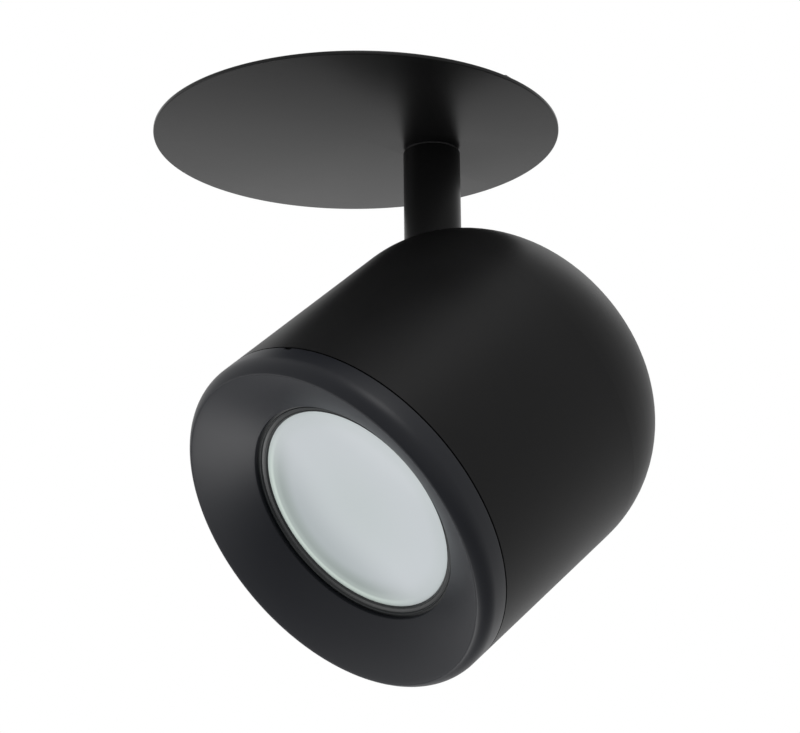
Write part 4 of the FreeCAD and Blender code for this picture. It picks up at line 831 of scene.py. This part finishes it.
def wire_tree():
    tree, given = start_tree("wire", [("Path", "NodeSocketGeometry", None),
                                      ("Radius", "NodeSocketFloat", WIRE_RADIUS * MM)])
    curve = node(tree, "GeometryNodeMeshToCurve")
    join(tree, given.outputs["Path"], curve.inputs[0])
    section = node(tree, "GeometryNodeCurvePrimitiveCircle")
    section.inputs["Resolution"].default_value = 16
    join(tree, given.outputs["Radius"], section.inputs["Radius"])
    sweep = node(tree, "GeometryNodeCurveToMesh")
    sweep.inputs["Fill Caps"].default_value = True
    join(tree, curve.outputs[0], sweep.inputs["Curve"])
    join(tree, section.outputs["Curve"], sweep.inputs["Profile Curve"])
    return end_tree(tree, given, sweep.outputs[0])


WIRE = wire_tree()


def spring_path(coil=3.4, wire=WIRE_RADIUS, pitch=1.75, turns=3, leg=7.5, droop=12, arm=0.75, base=-5.4,
                tail=70):
    """The wire's middle line in the clip's place, from the leg on the arm to the tail on the base."""
    climb = pitch / (2 * math.pi)
    first = math.radians(90 - droop) - math.asin((coil - wire - arm) / leg)
    last = math.radians(90 + tail + 360 * turns)
    middle = (first + last) / 2

    def point(turn):
        return Vector((coil * math.cos(turn), climb * (turn - middle), coil * math.sin(turn)))

    def way(turn):
        return Vector((-coil * math.sin(turn), climb, coil * math.cos(turn))).normalized()

    steps = STEPS_A_TURN * turns
    points = [point(first) - way(first) * leg]
    points += [point(first + (last - first) * index / steps) for index in range(steps + 1)]
    fall = point(last).z - (base + wire)
    points.append(point(last) + way(last) * (fall / -way(last).z))
    return points


for side, sign in (("right", 1), ("left", -1)):
    spring = run_tree(points_object(spring_path()), WIRE, "spring_" + side,
                      {"Radius": WIRE_RADIUS * MM, "Finish": spring_steel}, clip_place(sign), sharp=50)
    own(spring, "canopy", "plated_steel", "clip_spring_" + side)

# %% [markdown]
# Screws, nuts and studs repeat, so a third tree sets one item on every point. One screw is a turned pan
# head and shank with a cross cut in it. One nut is a turned blank cut to six sides by a prism, which
# leaves the chamfer that a real nut has on its corners.

# %% The repeat tree


def repeat_tree():
    tree, given = start_tree("repeat", [("Places", "NodeSocketGeometry", None),
                                        ("Item", "NodeSocketObject", None)])
    item = node(tree, "GeometryNodeObjectInfo")
    join(tree, given.outputs["Item"], item.inputs["Object"])
    spread = node(tree, "GeometryNodeInstanceOnPoints")
    join(tree, given.outputs["Places"], spread.inputs["Points"])
    join(tree, item.outputs["Geometry"], spread.inputs["Instance"])
    return end_tree(tree, given, spread.outputs[0])


REPEAT = repeat_tree()


def repeated(name, item, places, material, place):
    piece = run_tree(points_object(places, joined=False), REPEAT, name, {"Item": item, "Finish": material},
                     place)
    bpy.data.objects.remove(item)
    return piece


# %% One screw, one nut, one stud


def screw_item(radius, height, shank, length, material):
    """A pan head with a cross, seat at z = 0, and its shank below."""
    head = turned("screw", rounded([
        (0, -length), (shank * 0.7, -length), (shank, -length + shank * 0.4), (shank, 0), (radius, 0, 0.12),
        (radius, height * 0.45, 0.25), (radius * 0.62, height * 0.92, 0.5), (0, height)], closed=False),
        material, PLATE, steps=48)
    arm = radius * 0.62
    blade = radius * 0.17
    tools = [block("slot", (arm * 2, blade * 2, height * 1.2), (0, 0, height), PLATE),
             block("slot", (blade * 2, arm * 2, height * 1.2), (0, 0, height), PLATE)]
    return cut(head, *tools)


def nut_item(corner, bore, height, material):
    """A hexagonal nut with chamfered corners, standing on z = 0."""
    ease = corner * 0.1
    blank = turned("nut", [(bore, 0), (corner - ease, 0), (corner, ease * 0.6), (corner, height - ease * 0.6),
                           (corner - ease, height), (bore, height), (bore, 0)], material, PLATE, steps=60)
    flat = corner * math.cos(math.radians(30))
    prism = turned("prism", [(0, -1), (corner, -1), (corner, height + 1), (0, height + 1)], material, PLATE,
                   steps=6)
    print("nut across flats", round(flat * 2, 2), "mm")
    return cut(blank, prism, keep="INTERSECT")


def stud_item(radius, low, high, material):
    """A threaded stud with a flat foot and a chamfered end."""
    return turned("stud", [(0, low)] + threaded(radius, 0.22, 0.7, low, high - 0.3)
                  + [(radius * 0.75, high), (0, high)], material, PLATE, steps=40, sharp=20)


def at_studs(height):
    """The three studs' places on the plate, at a height."""
    return [(STUD_CIRCLE * math.cos(math.radians(azimuth)), STUD_CIRCLE * math.sin(math.radians(azimuth)),
             height) for azimuth in STUD_AZIMUTHS]


# %% Studs, nuts and screws in their places
STUD_CIRCLE = 27.4
STUD_AZIMUTHS = (55, 190, 305)
RING_FLOOR = 0.8
BLOCK_Y = 21.2
SADDLE_Y = -14
studs = repeated("plate_studs", stud_item(2.0, 0, 6.2, zinc), at_studs(PLATE_BACK), zinc, PLATE)
own(studs, "canopy", "plated_steel")
nuts = repeated("ring_nuts", nut_item(3.8, 2.0, 3.2, zinc), at_studs(RING_FLOOR), zinc, PLATE)
own(nuts, "canopy", "plated_steel", "stud_nuts")
lock_nut = repeated("lock_nut", nut_item(7.6, STEM_BORE, 4.0, zinc), [(0, 0, 5.1)], zinc, STEM)
own(lock_nut, "stem", "plated_steel", "swivel_lock_nut")
pole_screws = repeated("pole_screws", screw_item(2.4, 1.8, 1.3, 1.2, brass),
                       [(x, BLOCK_Y, 9.8) for x in (-10, -2, 6)], brass, PLATE)
own(pole_screws, "canopy", "brass", "terminal_screws")
bolts = repeated("terminal_bolts", screw_item(1.7, 1.0, 1.5, 14.0, zinc),
                 [(x, BLOCK_Y, 12.8) for x in (-6, 2)], zinc, PLATE)
own(bolts, "canopy", "plated_steel", "block_bolts")
saddle_screws = repeated("saddle_screws", screw_item(2.7, 1.8, 1.5, 4.0, zinc),
                         [(x, SADDLE_Y, 2.8) for x in (-12.6, 4.6)], zinc, PLATE)
own(saddle_screws, "canopy", "plated_steel", "clamp_screws")
earth = repeated("earth_terminal_screw", screw_item(2.7, 1.8, 1.5, 2.8, brass), [(4, -1, 1.6)], brass,
                 PLATE)
own(earth, "canopy", "brass", "earth_screw")

# %% [markdown]
# The stage is plain: a pale floor far below, since the light hangs from a ceiling, and a white world. A
# world of strength one is white to the camera and in reflections. For the soft light that falls on the
# object it is dimmer, and large lamps give the rest, so that colours come out about as written.

# %% World and floor
SOFT_LIGHT = 0.45
FLOOR_HALF = 4
FLOOR_HEIGHT = -2.4
world = bpy.data.worlds.new("studio")
bpy.context.scene.world = world
world.use_nodes = True
sky = world.node_tree
background = sky.nodes["Background"]
background.inputs["Color"].default_value = (1, 1, 1, 1)
rays = node(sky, "ShaderNodeLightPath")
seen = maths(sky, "MAXIMUM", rays.outputs["Is Camera Ray"],
             maths(sky, "MAXIMUM", rays.outputs["Is Glossy Ray"], rays.outputs["Is Transmission Ray"]))
strength = maths(sky, "ADD", maths(sky, "MULTIPLY", seen, 1 - SOFT_LIGHT), SOFT_LIGHT)
join(sky, strength, background.inputs["Strength"])

floor_mesh = bpy.data.meshes.new("floor")
corners = [(x * FLOOR_HALF, y * FLOOR_HALF, FLOOR_HEIGHT) for x, y in ((-1, -1), (1, -1), (1, 1), (-1, 1))]
floor_mesh.from_pydata(corners, [], [(0, 1, 2, 3)])
floor = stand("floor", floor_mesh)
floor_mesh.materials.append(finish("pale_floor", (0.82, 0.82, 0.82), (0.80, 0.80, 0.80), 0.8, specular=0.1,
                                   fine=0.01, patch=0.5))
print("soft light", SOFT_LIGHT, "floor at", FLOOR_HEIGHT, "m")

# %% [markdown]
# Four soft lamps: one from the left, a stronger one from below, whose light the left side of the bezel's
# dish turns towards the camera, one from above in front that draws a band along the head, and a weak one
# high behind on the right that draws a soft patch on the dome.

# %% Lamps
AIM = Vector((0.0, 0.0, -0.08))


def soft_lamp(name, spot, width, height, power):
    """A rectangular lamp that looks at the light's middle. Metres and watts."""
    data = bpy.data.lights.new(name, "AREA")
    data.shape = "RECTANGLE"
    data.size = width
    data.size_y = height
    data.energy = power
    turn = (AIM - Vector(spot)).to_track_quat("-Z", "Y").to_matrix().to_4x4()
    stand(name, data).matrix_world = Matrix.Translation(spot) @ turn
    print(name, power, "W")


soft_lamp("left_box", (-1.20, 0.15, -0.75), 0.8, 0.8, 4.5)
soft_lamp("below_box", (-0.28, 0.32, -1.20), 0.7, 0.6, 9.0)
soft_lamp("top_box", (0.25, -0.95, 0.95), 0.6, 0.5, 7.0)
soft_lamp("back_box", (0.50, 0.60, 0.75), 0.35, 0.5, 0.55)
bpy.context.scene.view_settings.view_transform = "Standard"
